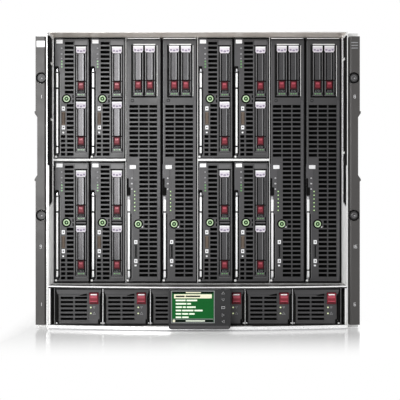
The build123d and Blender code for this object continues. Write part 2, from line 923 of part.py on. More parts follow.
def build_blade(x, z, tall, apart, name):
    """One blade: bezel, tub, ribs and lever, with drives, button and tab apart if asked."""
    height = full_height if tall else half_height
    half = blade_half
    button_z = full_button_z if tall else half_button_z
    tab_low = full_tab_low if tall else half_tab_low
    if tall:
        side = (drive_width + drive_side_gap) / 2
        drive_low = full_height - full_drive_drop
        places = [(full_drive_x - side, drive_low), (full_drive_x + side, drive_low)]
        top_slot = full_height - full_slot_drop
        rows = int((top_slot - full_slot_floor) / slot_pitch) + 1
        left_edges = [full_slot_margin - half] * full_wide_rows
        left_edges += [full_slot_low_margin - half] * (rows - full_wide_rows)
        slots = (top_slot, rows, left_edges, half - full_slot_right_margin)
        rib_left = full_rib_margin - half
        wide_low = top_slot - (full_wide_rows - 1) * slot_pitch
        last_slot = top_slot - (rows - 1) * slot_pitch
        ribs = [
            (rib_left, full_rib_width, top_slot, wide_low),
            (rib_left + full_rib_pitch, full_rib_width, top_slot, last_slot),
        ]
    else:
        places = [(half_drive_x, half_drive_low), (half_drive_x, half_drive_low + drive_pitch)]
        top_slot = half_height - half_slot_drop
        rows = int((top_slot - half_slot_floor) / slot_pitch) + 1
        middle_rows = rows - half_wide_rows - half_bottom_rows
        left_edges = [half_slot_margin - half] * half_wide_rows
        left_edges += [half_slot_low_margin - half] * middle_rows
        left_edges += [half_slot_bottom_margin - half] * half_bottom_rows
        slots = (top_slot, rows, left_edges, bay_edge + slide_gap - slot_to_drive)
        bottom_high = top_slot - (rows - half_bottom_rows) * slot_pitch
        last_slot = top_slot - (rows - 1) * slot_pitch
        ribs = [(half_rib_margin - half, half_rib_width, bottom_high, last_slot)]
    bay_left = min(place[0] for place in places) - drive_width / 2 - slide_gap
    bay_right = max(place[0] for place in places) + drive_width / 2 + slide_gap
    tub_y = blade_front_y + bezel_depth
    channel_top = z + lever_pivot_height + lever_length + slide_gap
    hollow_step = channel_top + edge_relief_length + bezel_wall
    hollow_top = z + height - bezel_wall - bezel_corner
    with BuildPart() as bezel:
        with BuildSketch(front_plane(blade_front_y)):
            with BuildLine():
                Polyline(
                    (x - half, z),
                    (x + half, z),
                    (x + half, z + height - bezel_corner),
                    (x + half - bezel_corner, z + height),
                    (x - half, z + height),
                    close=True,
                )
            make_face()
        extrude(amount=-bezel_depth)
        with BuildSketch(front_plane(blade_front_y + bezel_skin)):
            area(x - half + lever_rail, x + half - bezel_wall, z + bezel_wall, hollow_top)
            area(x - half + full_slot_margin, x + half - bezel_wall, hollow_step, hollow_top)
        extrude(amount=-(bezel_depth - bezel_skin), mode=Mode.SUBTRACT)
        with BuildSketch(front_plane(blade_front_y)):
            for place_x, place_z in places:
                area(
                    x + place_x - drive_width / 2 - slide_gap,
                    x + place_x + drive_width / 2 + slide_gap,
                    z + place_z - slide_gap,
                    z + place_z + drive_height + slide_gap,
                )
            if apart:
                area(
                    x + tab_x - tab_width / 2 - button_gap,
                    x + tab_x + tab_width / 2 + button_gap,
                    z + tab_low - button_gap,
                    z + tab_low + tab_height + button_gap,
                )
                with Locations((x + button_x, z + button_z)):
                    Circle(button_radius + button_gap)
        extrude(amount=-bezel_skin, mode=Mode.SUBTRACT)
        with BuildSketch(front_plane(blade_front_y)):
            draw_slots(x, z, *slots, (button_x, button_z))
        extrude(amount=-bezel_skin, mode=Mode.SUBTRACT)
        with BuildSketch(front_plane(blade_front_y)):
            area(x - half, x + lever_channel_right, z + lever_channel_low, channel_top)
            area(x - half, x - half + edge_relief_width, channel_top, channel_top + edge_relief_length)
        extrude(amount=-lever_channel_depth, mode=Mode.SUBTRACT)
        with BuildSketch(side_plane(x + lever_channel_right)):
            with Locations((blade_front_y + lever_pivot_back, z + lever_pivot_height)):
                Circle(lever_pin_radius)
        extrude(amount=-(lever_channel_right - lever_left))
    with BuildPart() as tub:
        with BuildSketch(front_plane(tub_y)):
            area(x - half + tub_inset, x + half - tub_inset, z + tub_inset, z + height - tub_inset)
        extrude(amount=-(blade_length - bezel_depth))
        if apart:
            with BuildSketch(front_plane(tub_y)):
                area(
                    x + bay_left,
                    x + bay_right,
                    z + places[0][1] - slide_gap,
                    z + places[-1][1] + drive_height + slide_gap,
                )
                area(
                    x + tab_x - tab_card_thickness / 2 - button_gap,
                    x + tab_x + tab_card_thickness / 2 + button_gap,
                    z + tab_low - button_gap,
                    z + tab_low + tab_height + button_gap,
                )
            extrude(amount=-drive_body_length, mode=Mode.SUBTRACT)
    pieces = [bezel, tub] + [build_rib(x, z, *rib) for rib in ribs]
    drives = [build_drive(x + place_x, z + place_z, apart) for place_x, place_z in places]
    if apart:
        for index, drive in enumerate(drives, start=1):
            save(drive, f"{name}_drive_{index}")
        save(build_button(x + button_x, z + button_z), f"{name}_power_button")
        save(build_tab(x + tab_x, z + tab_low), f"{name}_pull_tab")
    else:
        pieces += drives
    save_group(pieces, name)
    save(build_lever(x, z), f"{name}_lever")


# Blades by column from the left: half-height pairs and full-height blades
half_columns = (1, 2, 5, 6)
apart_columns = (1, 4)
for column in range(1, column_count + 1):
    x = (column - (column_count + 1) / 2) * column_pitch
    if column in half_columns:
        build_blade(x, upper_blade_z, False, column in apart_columns, f"half_blade_{column}_upper")
        build_blade(x, lower_blade_z, False, False, f"half_blade_{column}_lower")
    else:
        build_blade(x, lower_blade_z, True, column in apart_columns, f"full_blade_{column}")
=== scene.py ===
"""Looks of the blade server chassis: materials, small trim, light and camera.

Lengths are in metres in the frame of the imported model. Trim is drawn in millimetres from the front
of the part that carries it: x to the right, z up, and depth growing away from the viewer.
"""

import bpy
import json
import math
from collections import defaultdict
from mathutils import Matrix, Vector

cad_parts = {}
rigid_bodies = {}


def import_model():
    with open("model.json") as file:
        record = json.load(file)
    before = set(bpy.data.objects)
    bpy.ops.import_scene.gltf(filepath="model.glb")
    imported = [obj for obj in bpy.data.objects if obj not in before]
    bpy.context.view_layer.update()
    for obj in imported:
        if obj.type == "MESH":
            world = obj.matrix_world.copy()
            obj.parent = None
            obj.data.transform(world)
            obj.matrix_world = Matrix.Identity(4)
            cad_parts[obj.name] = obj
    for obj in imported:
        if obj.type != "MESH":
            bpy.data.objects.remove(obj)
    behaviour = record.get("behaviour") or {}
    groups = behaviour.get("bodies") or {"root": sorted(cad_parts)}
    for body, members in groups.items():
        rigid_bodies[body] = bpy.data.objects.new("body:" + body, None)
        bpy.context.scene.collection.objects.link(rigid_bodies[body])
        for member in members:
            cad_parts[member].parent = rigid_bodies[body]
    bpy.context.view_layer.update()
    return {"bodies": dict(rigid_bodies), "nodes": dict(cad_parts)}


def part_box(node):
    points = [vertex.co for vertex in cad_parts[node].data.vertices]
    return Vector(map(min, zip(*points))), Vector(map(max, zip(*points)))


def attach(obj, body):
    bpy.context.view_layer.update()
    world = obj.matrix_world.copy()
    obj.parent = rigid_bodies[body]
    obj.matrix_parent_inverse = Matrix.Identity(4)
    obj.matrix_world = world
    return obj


MM = 0.001
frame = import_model()
nodes = frame["nodes"]

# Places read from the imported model
shell_low, shell_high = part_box("enclosure_shell")
front_y = shell_low.y
rear_y = shell_high.y
half_blades = [f"half_blade_{c}_{row}" for c in (1, 2, 5, 6) for row in ("upper", "lower")]
full_blades = [f"full_blade_{c}" for c in (3, 4, 7, 8)]
blades = half_blades + full_blades
supplies = [f"power_supply_{n}" for n in range(1, 7)]
blade_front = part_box("half_blade_1_upper")[0].y
opened = [name for name in blades if name + "_power_button" in nodes]


def middle_x(name):
    low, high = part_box(name)
    return (low.x + high.x) / 2


# Mesh code
class Form:
    """Points and faces of one piece, drawn in millimetres and scaled once at the end."""

    def __init__(self):
        self.points = []
        self.faces = []

    def add(self, rings, closed=True):
        """Skin over rings of equal length, its ends closed by faces or joined to each other."""
        base = len(self.points)
        count = len(rings[0])
        for ring in rings:
            self.points += ring
        starts = [base + level * count for level in range(len(rings))]
        joined = starts[1:] if closed else starts[1:] + starts[:1]
        for here, there in zip(starts, joined):
            for i in range(count):
                j = (i + 1) % count
                self.faces.append((here + i, here + j, there + j, there + i))
        if closed:
            self.faces.append(tuple(range(base + count - 1, base - 1, -1)))
            self.faces.append(tuple(range(starts[-1], starts[-1] + count)))


def inset(outline, amount):
    """Outline moved inwards along its edge normals."""
    shrunk = []
    count = len(outline)
    for i in range(count):
        before, here, after = outline[i - 1], outline[i], outline[(i + 1) % count]
        first = Vector((here[0] - before[0], here[1] - before[1])).normalized()
        second = Vector((after[0] - here[0], after[1] - here[1])).normalized()
        bend = Vector((-first.y - second.y, first.x + second.x))
        scale = amount / max(0.5, (bend.length / 2) ** 2) / 2
        shrunk.append((here[0] + bend.x * scale, here[1] + bend.y * scale))
    return shrunk


def polar(x, z, radius, angle):
    return x + radius * math.cos(angle), z + radius * math.sin(angle)


def rounded(left, right, low, high, radius, steps=4):
    """Rectangle with rounded corners, counter-clockwise."""
    corners = [(right, low, -90), (right, high, 0), (left, high, 90), (left, low, 180)]
    outline = []
    for x, z, start in corners:
        cx = x - radius if x == right else x + radius
        cz = z - radius if z == high else z + radius
        for step in range(steps + 1):
            outline.append(polar(cx, cz, radius, math.radians(start + 90 * step / steps)))
    return outline


def disc(x, z, radius, segments=32):
    """Circle as an outline."""
    turn = 2 * math.pi / segments
    return [polar(x, z, radius, i * turn) for i in range(segments)]


def moved(outline, x, z):
    return [(x + px, z + pz) for px, pz in outline]


def tablet(form, outline, back, front, rim):
    """Flat piece with a soft front rim, from depth back to depth front."""
    soft = [(0.0, front + rim), (0.3 * rim, front + 0.3 * rim), (rim, front)]
    rings = [[(x, back, z) for x, z in outline]]
    for amount, depth in soft:
        rings.append([(x, depth, z) for x, z in inset(outline, amount)])
    form.add(rings)


def plate(form, left, right, low, high, back, front, corner=0.5, rim=0.2, steps=3):
    """Tablet with a rounded rectangle as its outline."""
    tablet(form, rounded(left, right, low, high, corner, steps), back, front, rim)


def plates(forms, table, x=0.0, z=0.0):
    """Plates of the named parts of a table, moved by x and z."""
    for part, rows in table.items():
        for left, right, low, high, *rest in rows:
            plate(forms[part], x + left, x + right, z + low, z + high, *rest)


def dome(form, x, z, radius, back, front, segments=14):
    """Round head, highest in its middle."""
    rise = back - front
    shape = [(1.0, 0.0), (0.96, 0.35), (0.8, 0.7), (0.5, 0.92), (0.2, 1.0)]
    rings = []
    for share, level in shape:
        ring = disc(x, z, radius * share, segments)
        rings.append([(px, back - rise * level, pz) for px, pz in ring])
    form.add(rings)


def turned(form, x, z, profile, segments=40):
    """Ring turned about a line along the depth, from a closed profile of radius and depth."""
    rings = []
    for radius, depth in profile:
        rings.append([(px, depth, pz) for px, pz in disc(x, z, radius, segments)])
    form.add(rings, closed=False)


turns = {
    "front": lambda x, y, z: (x, y, z),
    "rear": lambda x, y, z: (-x, -y, z),
    "right": lambda x, y, z: (-y, x, z),
    "left": lambda x, y, z: (y, -x, z),
    "top": lambda x, y, z: (x, z, -y),
}


def piece(form, name, look, body, place=(0, 0, 0), facing="front"):
    """Object made of a form or a mesh, with the material of its look, carried by a body; the slot in
    the look is not used.
    """
    material, slot = look
    mesh = form
    if isinstance(form, Form):
        mesh = bpy.data.meshes.new(name)
        turn = turns[facing]
        scaled = [Vector(turn(x, y, z)) * MM for x, y, z in form.points]
        mesh.from_pydata(scaled, [], form.faces)
        mesh.materials.append(material)
        mesh.update()
    made = bpy.data.objects.new(name, mesh)
    made.location = place
    bpy.context.scene.collection.objects.link(made)
    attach(made, body)
    return made


def by_part(groups):
    """Material and slot of each part, from materials grouped by their slot."""
    return {part: (material, slot) for slot, parts in groups.items()
            for part, material in parts.items()}


def fixed(forms, groups, place, facing="front"):
    """Pieces of the enclosure, named as their forms are."""
    for name, look in by_part(groups).items():
        piece(forms[name], name, look, "enclosure", place, facing)


# Materials
noise_range = (0.3, 0.7)


def add_node(tree, kind, values=None, **links):
    """Shader node with values for some of its inputs and links for others."""
    made = tree.nodes.new("ShaderNode" + kind)
    for name, value in (values or {}).items():
        made.inputs[name].default_value = value
    for name, socket in links.items():
        tree.links.new(socket, made.inputs[name])
    return made


def new_material(name, roughness, metallic=0.0, coat=0.0, specular=0.5):
    """Material with a plain shader, its node tree and its object coordinates."""
    made = bpy.data.materials.new(name)
    made.use_nodes = True
    shader = made.node_tree.nodes["Principled BSDF"]
    values = {"Roughness": roughness, "Metallic": metallic, "Coat Weight": coat,
              "Coat Roughness": 0.12, "Specular IOR Level": specular}
    for socket, value in values.items():
        shader.inputs[socket].default_value = value
    place = add_node(made.node_tree, "TexCoord").outputs["Object"]
    return made, made.node_tree, shader, place


def stretched(tree, place, scale):
    return add_node(tree, "Mapping", {"Scale": scale}, Vector=place).outputs["Vector"]


def noise(tree, place, scale, detail=4.0, roughness=0.55):
    values = {"Scale": scale, "Detail": detail, "Roughness": roughness}
    return add_node(tree, "TexNoise", values, Vector=place).outputs["Fac"]


def maths(tree, operation, first, second=None):
    """Math node on a socket and, where there is a second, on a socket or a number."""
    made = tree.nodes.new("ShaderNodeMath")
    made.operation = operation
    tree.links.new(first, made.inputs[0])
    if isinstance(second, float):
        made.inputs[1].default_value = second
    elif second is not None:
        tree.links.new(second, made.inputs[1])
    return made.outputs[0]


def ramp(tree, value, start, end, low, high, kind="LINEAR"):
    """Value turned into a number that runs from low at start to high at end."""
    values = {"From Min": start, "From Max": end, "To Min": low, "To Max": high}
    made = add_node(tree, "MapRange", values, Value=value)
    made.interpolation_type = kind
    return made.outputs["Result"]


def tones(tree, value, dark, light):
    """A noise value turned into a colour between two tones."""
    made = add_node(tree, "ValToRGB", Fac=value)
    ends = zip(made.color_ramp.elements, noise_range, (dark, light))
    for element, position, colour in ends:
        element.position = position
        element.color = (*colour, 1)
    return made.outputs["Color"]


def bump(tree, shader, value, depth, strength=0.35):
    made = add_node(tree, "Bump", {"Strength": strength, "Distance": depth}, Height=value)
    tree.links.new(made.outputs["Normal"], shader.inputs["Normal"])


def shaded(colour, factor):
    return tuple(min(1.0, channel * factor) for channel in colour)


def coloured(tree, shader, value, colour, dark, light, socket="Base Color"):
    """A colour that a noise value shades between the factors dark and light."""
    tone = tones(tree, value, shaded(colour, dark), shaded(colour, light))
    tree.links.new(tone, shader.inputs[socket])


def uneven(tree, shader, value, roughness, below, above):
    """Gloss that a noise value varies round a roughness."""
    gloss = ramp(tree, value, *noise_range, roughness - below, roughness + above)
    tree.links.new(gloss, shader.inputs["Roughness"])


def moulded(name, colour, roughness, coat=0.0, grain=2600.0, depth=0.00006, vary=0.10,
            specular=0.5):
    """Moulded plastic: fine spark-eroded grain, cloudy tone and slightly uneven gloss."""
    made, tree, shader, place = new_material(name, roughness, coat=coat, specular=specular)
    coloured(tree, shader, noise(tree, place, 14.0), colour, 1 - vary, 1 + vary)
    uneven(tree, shader, noise(tree, place, 60.0), roughness, 0.06, 0.06)
    bump(tree, shader, noise(tree, place, grain, detail=2.0), depth)
    return made


def brushed(name, colour, roughness, lines, vary=0.06, metallic=1.0):
    """Rolled sheet: fine lines along one direction over a cloudy tone."""
    made, tree, shader, place = new_material(name, roughness, metallic=metallic)
    coloured(tree, shader, noise(tree, place, 9.0), colour, 1 - vary, 1 + vary)
    grain = noise(tree, stretched(tree, place, lines), 1.0, detail=3.0)
    uneven(tree, shader, grain, roughness, 0.07, 0.07)
    bump(tree, shader, grain, 0.00003, strength=0.2)
    return made


def spangled(name, colour, roughness):
    """Zinc-plated sheet: soft crystal patches under a fine rolled grain."""
    made, tree, shader, place = new_material(name, roughness, metallic=0.55)
    cells = add_node(tree, "TexVoronoi", {"Scale": 130.0}, Vector=place)
    patch = add_node(tree, "RGBToBW", Color=cells.outputs["Color"])
    coloured(tree, shader, patch.outputs["Val"], colour, 0.95, 1.04)
    grain = noise(tree, stretched(tree, place, (900.0, 18.0, 900.0)), 1.0, detail=3.0)
    uneven(tree, shader, grain, roughness, 0.06, 0.08)
    bump(tree, shader, grain, 0.00003, strength=0.15)
    return made


def lit(name, colour, glow, strength, coat=0.6, specular=0.5):
    """Small lamp behind a frosted lens."""
    made, tree, shader, place = new_material(name, 0.3, coat=coat, specular=specular)
    frost = noise(tree, place, 900.0)
    coloured(tree, shader, frost, colour, 0.8, 1.1)
    coloured(tree, shader, frost, glow, 0.75, 1.0, "Emission Color")
    shader.inputs["Emission Strength"].default_value = strength
    return made


def ribbed(name, colour, roughness, pitch, metallic):
    """Moulded part with fine cross ribs at a pitch of about a millimetre."""
    made, tree, shader, place = new_material(name, roughness, metallic=metallic)
    coloured(tree, shader, noise(tree, place, 40.0), colour, 0.9, 1.1)
    wave = add_node(tree, "TexWave", {"Scale": 0.31 / pitch}, Vector=place)
    wave.bands_direction = "Z"
    bump(tree, shader, wave.outputs["Fac"], pitch * 0.12, strength=0.05)
    return made


def edged(name, colour, roughness, edge_z, below):
    """Pale sheet whose lower edge, under the height edge_z, is painted dark as a line of painted
    shade.
    """
    made, tree, shader, place = new_material(name, roughness)
    parts = add_node(tree, "SeparateXYZ", Vector=place)
    above = maths(tree, "GREATER_THAN", parts.outputs["Z"], edge_z)
    tone = tones(tree, noise(tree, place, 60.0), shaded(colour, 0.95), shaded(colour, 1.03))
    blend = tree.nodes.new("ShaderNodeMix")
    blend.data_type = "RGBA"
    blend.inputs["A"].default_value = (*below, 1)
    tree.links.new(above, blend.inputs["Factor"])
    tree.links.new(tone, blend.inputs["B"])
    tree.links.new(blend.outputs["Result"], shader.inputs["Base Color"])
    bump(tree, shader, noise(tree, place, 700.0), 0.00004)
    return made


graphite = moulded("graphite_plastic", (0.038, 0.037, 0.039), 0.37)
graphite_dark = moulded("graphite_dark", (0.014, 0.014, 0.015), 0.45, specular=0.3)
black = moulded("black_plastic", (0.0035, 0.0035, 0.0035), 0.75, specular=0.08)
ear_grey = moulded("ear_plastic", (0.044, 0.041, 0.039), 0.38)
strip_grey = moulded("strip_plastic", (0.050, 0.048, 0.052), 0.40, grain=1500.0, specular=0.55)
handle_metal = ribbed("handle_metal", (0.066, 0.065, 0.067), 0.28, 0.0011, 1.0)
# lighter copy of the handle metal, painted as the highlight along the handle's right side
handle_highlight_metal = brushed("handle_highlight_metal", (0.15, 0.15, 0.154), 0.35, (700.0, 700.0, 12.0))
carrier_dark = moulded("carrier_dark", (0.007, 0.007, 0.008), 0.5, specular=0.15)
carrier_rail = moulded("carrier_rail", (0.050, 0.050, 0.052), 0.35, specular=0.7)
maroon = moulded("release_maroon", (0.20, 0.014, 0.026), 0.42, grain=900.0, specular=0.3)
# darker copy of the maroon, painted as shade round the key and at the foot of the latch
maroon_painted_shade = moulded("maroon_painted_shade", (0.055, 0.004, 0.008), 0.45, grain=900.0, specular=0.2)
brown = moulded("tab_brown", (0.16, 0.120, 0.092), 0.55, specular=0.3)
brown_deep = moulded("tab_brown_deep", (0.035, 0.026, 0.020), 0.6, specular=0.2)
white = moulded("label_white", (0.95, 0.95, 0.96), 0.40, vary=0.03, depth=0.00002)
rail_grey = moulded("rail_grey", (0.12, 0.118, 0.122), 0.32, grain=1500.0, specular=0.6)
rim_grey = moulded("rim_grey", (0.085, 0.083, 0.086), 0.34, grain=1500.0, specular=0.6)
icon_grey = moulded("icon_grey", (0.26, 0.26, 0.27), 0.5, vary=0.05, depth=0.00002)
icon_pale = moulded("icon_pale", (0.50, 0.50, 0.51), 0.5, vary=0.05, depth=0.00002)
lilac = moulded("label_lilac", (0.74, 0.70, 0.76), 0.45, vary=0.12, grain=1400.0)
lilac_deep = moulded("label_mark", (0.30, 0.25, 0.36), 0.5, vary=0.25, grain=1400.0)
# lighter rose copy of the maroon, painted as highlights on the key and the latch
rose_painted_highlight = moulded("release_rose_painted_highlight", (0.42, 0.055, 0.085), 0.35, coat=0.2, grain=900.0, specular=0.4)
cream = moulded("screen_cream", (0.90, 0.90, 0.66), 0.5, vary=0.04)
zinc = spangled("zinc_sheet", (0.72, 0.72, 0.71), 0.42)
pale_sheet = moulded("pale_sheet", (0.93, 0.93, 0.92), 0.38, vary=0.04, grain=700.0)
lip_sheet = brushed("lip_sheet", (0.96, 0.96, 0.96), 0.30, (14.0, 700.0, 700.0), 0.03, 0.6)
deck_sheet = edged("deck_sheet", (0.96, 0.96, 0.96), 0.35, 0.0622, (0.006, 0.006, 0.006))
# beige for the ceiling's underside: the warm light reflected on its zinc, painted into the colour
ceiling_painted_reflection = moulded("ceiling_sheet_painted_reflection", (0.82, 0.745, 0.675), 0.35, vary=0.05, grain=700.0)
bright = brushed("bright_lever", (0.92, 0.92, 0.92), 0.40, (700.0, 700.0, 12.0), metallic=0.2)
# mid grey for the lever's body, painted as the shade on its sides beside the bright caps
lever_painted_shade = brushed("lever_side_painted_shade", (0.42, 0.42, 0.43), 0.40, (700.0, 700.0, 12.0), metallic=0.2)
chrome = brushed("chrome_catch", (0.80, 0.80, 0.82), 0.16, (300.0, 300.0, 300.0), metallic=0.8)
black_steel = brushed("black_steel", (0.03, 0.03, 0.03), 0.34, (500.0, 500.0, 20.0), metallic=0.4)
gold = brushed("contact_gold", (0.75, 0.55, 0.22), 0.3, (600.0, 600.0, 600.0))
board = moulded("board_green", (0.02, 0.10, 0.045), 0.35, coat=0.4, grain=300.0, depth=0.0002)
green_light = lit("indicator_green", (0.07, 0.20, 0.06), (0.16, 0.50, 0.12), 0.30)
pale_light = lit("indicator_pale", (0.62, 0.68, 0.40), (0.80, 0.92, 0.50), 0.5)
button_light = lit("button_ring", (0.46, 0.60, 0.38), (0.40, 0.66, 0.32), 0.28, coat=0.2)
button_deep = lit("button_deep", (0.010, 0.035, 0.008), (0.02, 0.08, 0.015), 0.2, 0.0, 0.1)
button_core = lit("button_core", (0.26, 0.44, 0.20), (0.34, 0.66, 0.26), 0.4, coat=0.2)
screen_light = lit("screen_green", (0.004, 0.070, 0.014), (0.006, 0.120, 0.022), 0.45, 0.0, 0.08)
screen_text = lit("screen_text", (0.80, 0.88, 0.74), (0.80, 0.92, 0.70), 0.30, 0.0, 0.2)
screen_ink = lit("screen_ink", (0.003, 0.008, 0.004), (0.003, 0.008, 0.004), 0.2, 0.0, 0.05)


# Finish of the CAD nodes
def paint(node, materials, choose=lambda middle, normal: 0):
    """Give each face of a CAD node the material that choose numbers for its middle and normal."""
    mesh = nodes[node].data
    mesh.materials.clear()
    for material in materials:
        mesh.materials.append(material)
    for face in mesh.polygons:
        face.material_index = choose(face.center, face.normal)


skin_depth = 0.0020
pocket_depth = skin_depth + 0.0022
bezel_depth = 0.0220
channel_right, channel_depth = 0.0063, 0.0095
hollow_side = 0.0025
key_front, key_side, frame_front = -0.0015, -0.0011, -0.0009
square_on = 0.9  # share of a normal along an axis from which a face counts as facing that way
blade_materials = [graphite, zinc, maroon, carrier_dark, black]


def drive_finish(depth, normal):
    """Key, frame or dish of a drive, from the depth of the face behind the bezels."""
    if depth < key_front or (depth < key_side and abs(normal.y) < 0.5):
        return 2
    # Faces of a drive other than its key and the front of its frame are painted black, as painted
    # shade round the handle and between the carriers.
    return 3 if depth < frame_front and normal.y < -square_on else 4


def blade_finish(left, right):
    """Finish of a blade that reaches from left to right."""
    def choose(middle, normal):
        depth = middle.y - blade_front
        beside = middle.x - left
        if depth > bezel_depth + 0.0005:
            return 1
        if depth < -0.0001:
            return drive_finish(depth, normal)
        # The lever channel, the slot walls and the hollow behind the slots are painted black, as
        # painted shade in these recesses.
        if 0.0001 < beside < channel_right and 0.0005 < depth < channel_depth:
            return 4
        slot_wall = 0.0003 < depth < skin_depth and abs(normal.y) < 0.5
        inner = left + hollow_side < middle.x < right - hollow_side
        return 4 if inner and (slot_wall or depth > pocket_depth) else 0
    return choose


for name in blades:
    low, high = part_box(name)
    paint(name, blade_materials, blade_finish(low.x, high.x))
    # the lever's body is painted darker than its bright caps, as painted shade on its sides
    paint(name + "_lever", [lever_painted_shade if name in full_blades else graphite])
for name in opened:
    for number in (1, 2):
        paint(f"{name}_drive_{number}", blade_materials,
              lambda middle, normal: drive_finish(middle.y - blade_front, normal))
    paint(name + "_power_button", [graphite_dark])
    paint(name + "_pull_tab", [graphite_dark if name in full_blades else brown])

supply_bezel = 0.0140
supply_front = front_y + 0.001
latch_low = 0.0360
bail_arm_side, bail_arm_top = 0.0310, 0.051


def supply_finish(middle, normal):
    depth = middle.y - supply_front
    ahead = depth < -0.0005 and abs(normal.x) < 0.99 or depth < -0.0032
    if ahead and middle.z > latch_low:
        return 1
    if depth > supply_bezel - 0.0002 and normal.y > -0.5:
        return 2
    # Faces deep behind the supply's slots are painted black, as painted shade in the pocket.
    return 3 if depth > pocket_depth else 0


for name in supplies:
    centre = middle_x(name)
    paint(name, [graphite, maroon, zinc, black], supply_finish)
    paint(name + "_bail", [graphite, black], lambda middle, normal: int(
        abs(middle.x - centre) > bail_arm_side and middle.z < bail_arm_top))

wall = 0.0012
ceiling = shell_high.z - wall
inner_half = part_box("power_cage")[1].x
deck_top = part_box("side_liners")[0].z
deck_depth, spacer_inside, pan_top, pan_floor = 0.0045, 0.2112, 0.006, 0.0008


def shell_finish(middle, normal):
    # Inner side faces are painted black as painted shade in the side wells; the ceiling's underside
    # gets a beige that paints the warm light reflected on it.
    if abs(abs(middle.x) - inner_half) < 0.0002 and abs(normal.x) > square_on:
        return 1
    return 2 if abs(middle.z - ceiling) < 0.0002 and normal.z < -square_on else 0


def bay_finish(middle, normal):
    # Top faces of the deck and the floor pan are painted dark grey as painted shade and painted
    # reflection of the dark parts over them; the deck's underside and the front faces beside the
    # outer supplies are painted black as painted shade.
    if middle.z > deck_top - deck_depth:
        if normal.z > square_on:
            return 4
        return 1 if normal.z < -square_on else 2
    if abs(middle.x) > spacer_inside and normal.y < -0.5 and middle.z > pan_top:
        return 1
    if middle.z > pan_floor and normal.z > square_on:
        return 4
    return 3 if normal.y < -0.5 and middle.z < pan_top else 0


rear_face = rear_y - 0.0005
board_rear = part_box("midplane")[0].y + 0.0062
screen_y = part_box("display_head")[0].y + 0.0018


def pocket_finish(middle, normal):
    return int(middle.y < rear_face and normal.y > 0.5)


def head_finish(middle, normal):
    return int(normal.y < -square_on and abs(middle.y - screen_y) < 0.0004)


paint("enclosure_shell", [zinc, black, ceiling_painted_reflection], shell_finish)
paint("power_cage", [pale_sheet, black, deck_sheet, lip_sheet, ear_grey], bay_finish)
paint("midplane", [board, black], lambda middle, normal: int(middle.y > board_rear))
paint("fan_modules", [graphite, black], pocket_finish)
paint("interconnect_modules", [zinc, black], pocket_finish)
paint("admin_modules", [zinc, black], pocket_finish)
paint("display_head", [graphite_dark, screen_light], head_finish)
for name, material in {
    "side_liners": pale_sheet, "bay_dividers": pale_sheet, "rear_cage": zinc,
    "ear_left": ear_grey, "ear_right": ear_grey, "ear_screws": black_steel,
    "power_inlets": black, "display_carriage": black_steel, "display_select_key": graphite_dark,
}.items():
    paint(name, [material])


def soften(node, width, segments):
    """Small round on the sharp edges of a CAD node."""
    weld = nodes[node].modifiers.new("weld", "WELD")
    weld.merge_threshold = 0.00002
    bevel = nodes[node].modifiers.new("bevel", "BEVEL")
    bevel.width = width
    bevel.segments = segments
    bevel.limit_method = "ANGLE"
    bevel.angle_limit = math.radians(40)


for group, ending, width, segments in (
    (blades, "", 0.00035, 1), (blades, "_lever", 0.0005, 2),
    (supplies, "", 0.0004, 1), (supplies, "_bail", 0.0005, 2),
    (("ear_left", "ear_right", "display_head"), "", 0.0008, 2),
):
    for name in group:
        soften(name + ending, width, segments)


# Drive trim, from the foot and the middle of a drive
label_outline = [(-6.4, 66.9), (6.4, 66.9), (7.6, 69.6), (7.6, 76.9), (-7.6, 76.9), (-7.6, 69.6)]
drive_plates = {
    "label_edge": [(-7.6, 7.6, 74.6, 77.0, -1.2, -1.9)],
    "label_marks": [(*mark, -1.3, -1.62, 0.6, 0.1, 2) for mark in (
        (-6.3, -2.9, 69.3, 71.9), (-1.7, 2.1, 68.5, 71.1), (3.2, 6.4, 69.5, 72.1))],
    "handle": [(-3.9, 4.0, 24.6, 66.5, -0.8, -1.6, 0.9),
               (-3.9, -2.1, 25.6, 65.4, -1.3, -2.1, 0.5, 0.15),
               (-1.1, 0.7, 25.6, 65.4, -1.3, -2.1, 0.5, 0.15)],
    # a lighter strip down the handle's right side, painted as its highlight
    "handle_highlight_strip": [(2.5, 4.0, 25.0, 66.0, -1.3, -2.2, 0.4, 0.15)],
    "rails": [(-7.1, -5.7, 5.4, 66.4, -0.8, -1.5, 0.3), (6.4, 7.6, 5.4, 66.4, -0.8, -1.5, 0.3),
              (-7.8, 7.8, 0.3, 1.2, -0.8, -1.4, 0.3)],
    # black plates painted as the shade in the gaps round and between the drive's rails and handle
    "painted_gap_shade": [(*gap, 0.3, 0.05) for gap in (
        (-8.55, -7.65, 0.4, 77.0, -0.8, -1.3), (7.65, 8.55, 0.4, 77.0, -0.8, -1.3),
        (-5.6, -4.0, 5.4, 66.4, -0.8, -1.25), (4.2, 6.2, 5.4, 66.4, -0.8, -1.25),
        (-7.7, 7.7, 23.1, 24.5, -0.8, -1.9))],
    # round the key a darker maroon surround painted as shade, and on it a rose strip painted as its
    # highlight
    "key": [(-3.6, 3.6, 12.6, 21.4, -2.2, -3.0, 1.2, 0.5)],
    "key_shade": [(-4.9, 4.9, 10.2, 22.9, -1.4, -2.4, 1.4, 0.5)],
    "key_shine": [(-2.6, 2.6, 17.6, 20.6, -2.8, -3.2, 0.8, 0.2)],
    "lens": [(-6.8, 6.8, 1.4, 5.4, -0.8, -1.3, 0.6)],
    "lamps": [(left, right, 2.4, 4.1, -1.1, -1.5)
              for left, right in ((-4.6, -2.2), (-0.6, 1.0), (2.5, 4.7))],
}
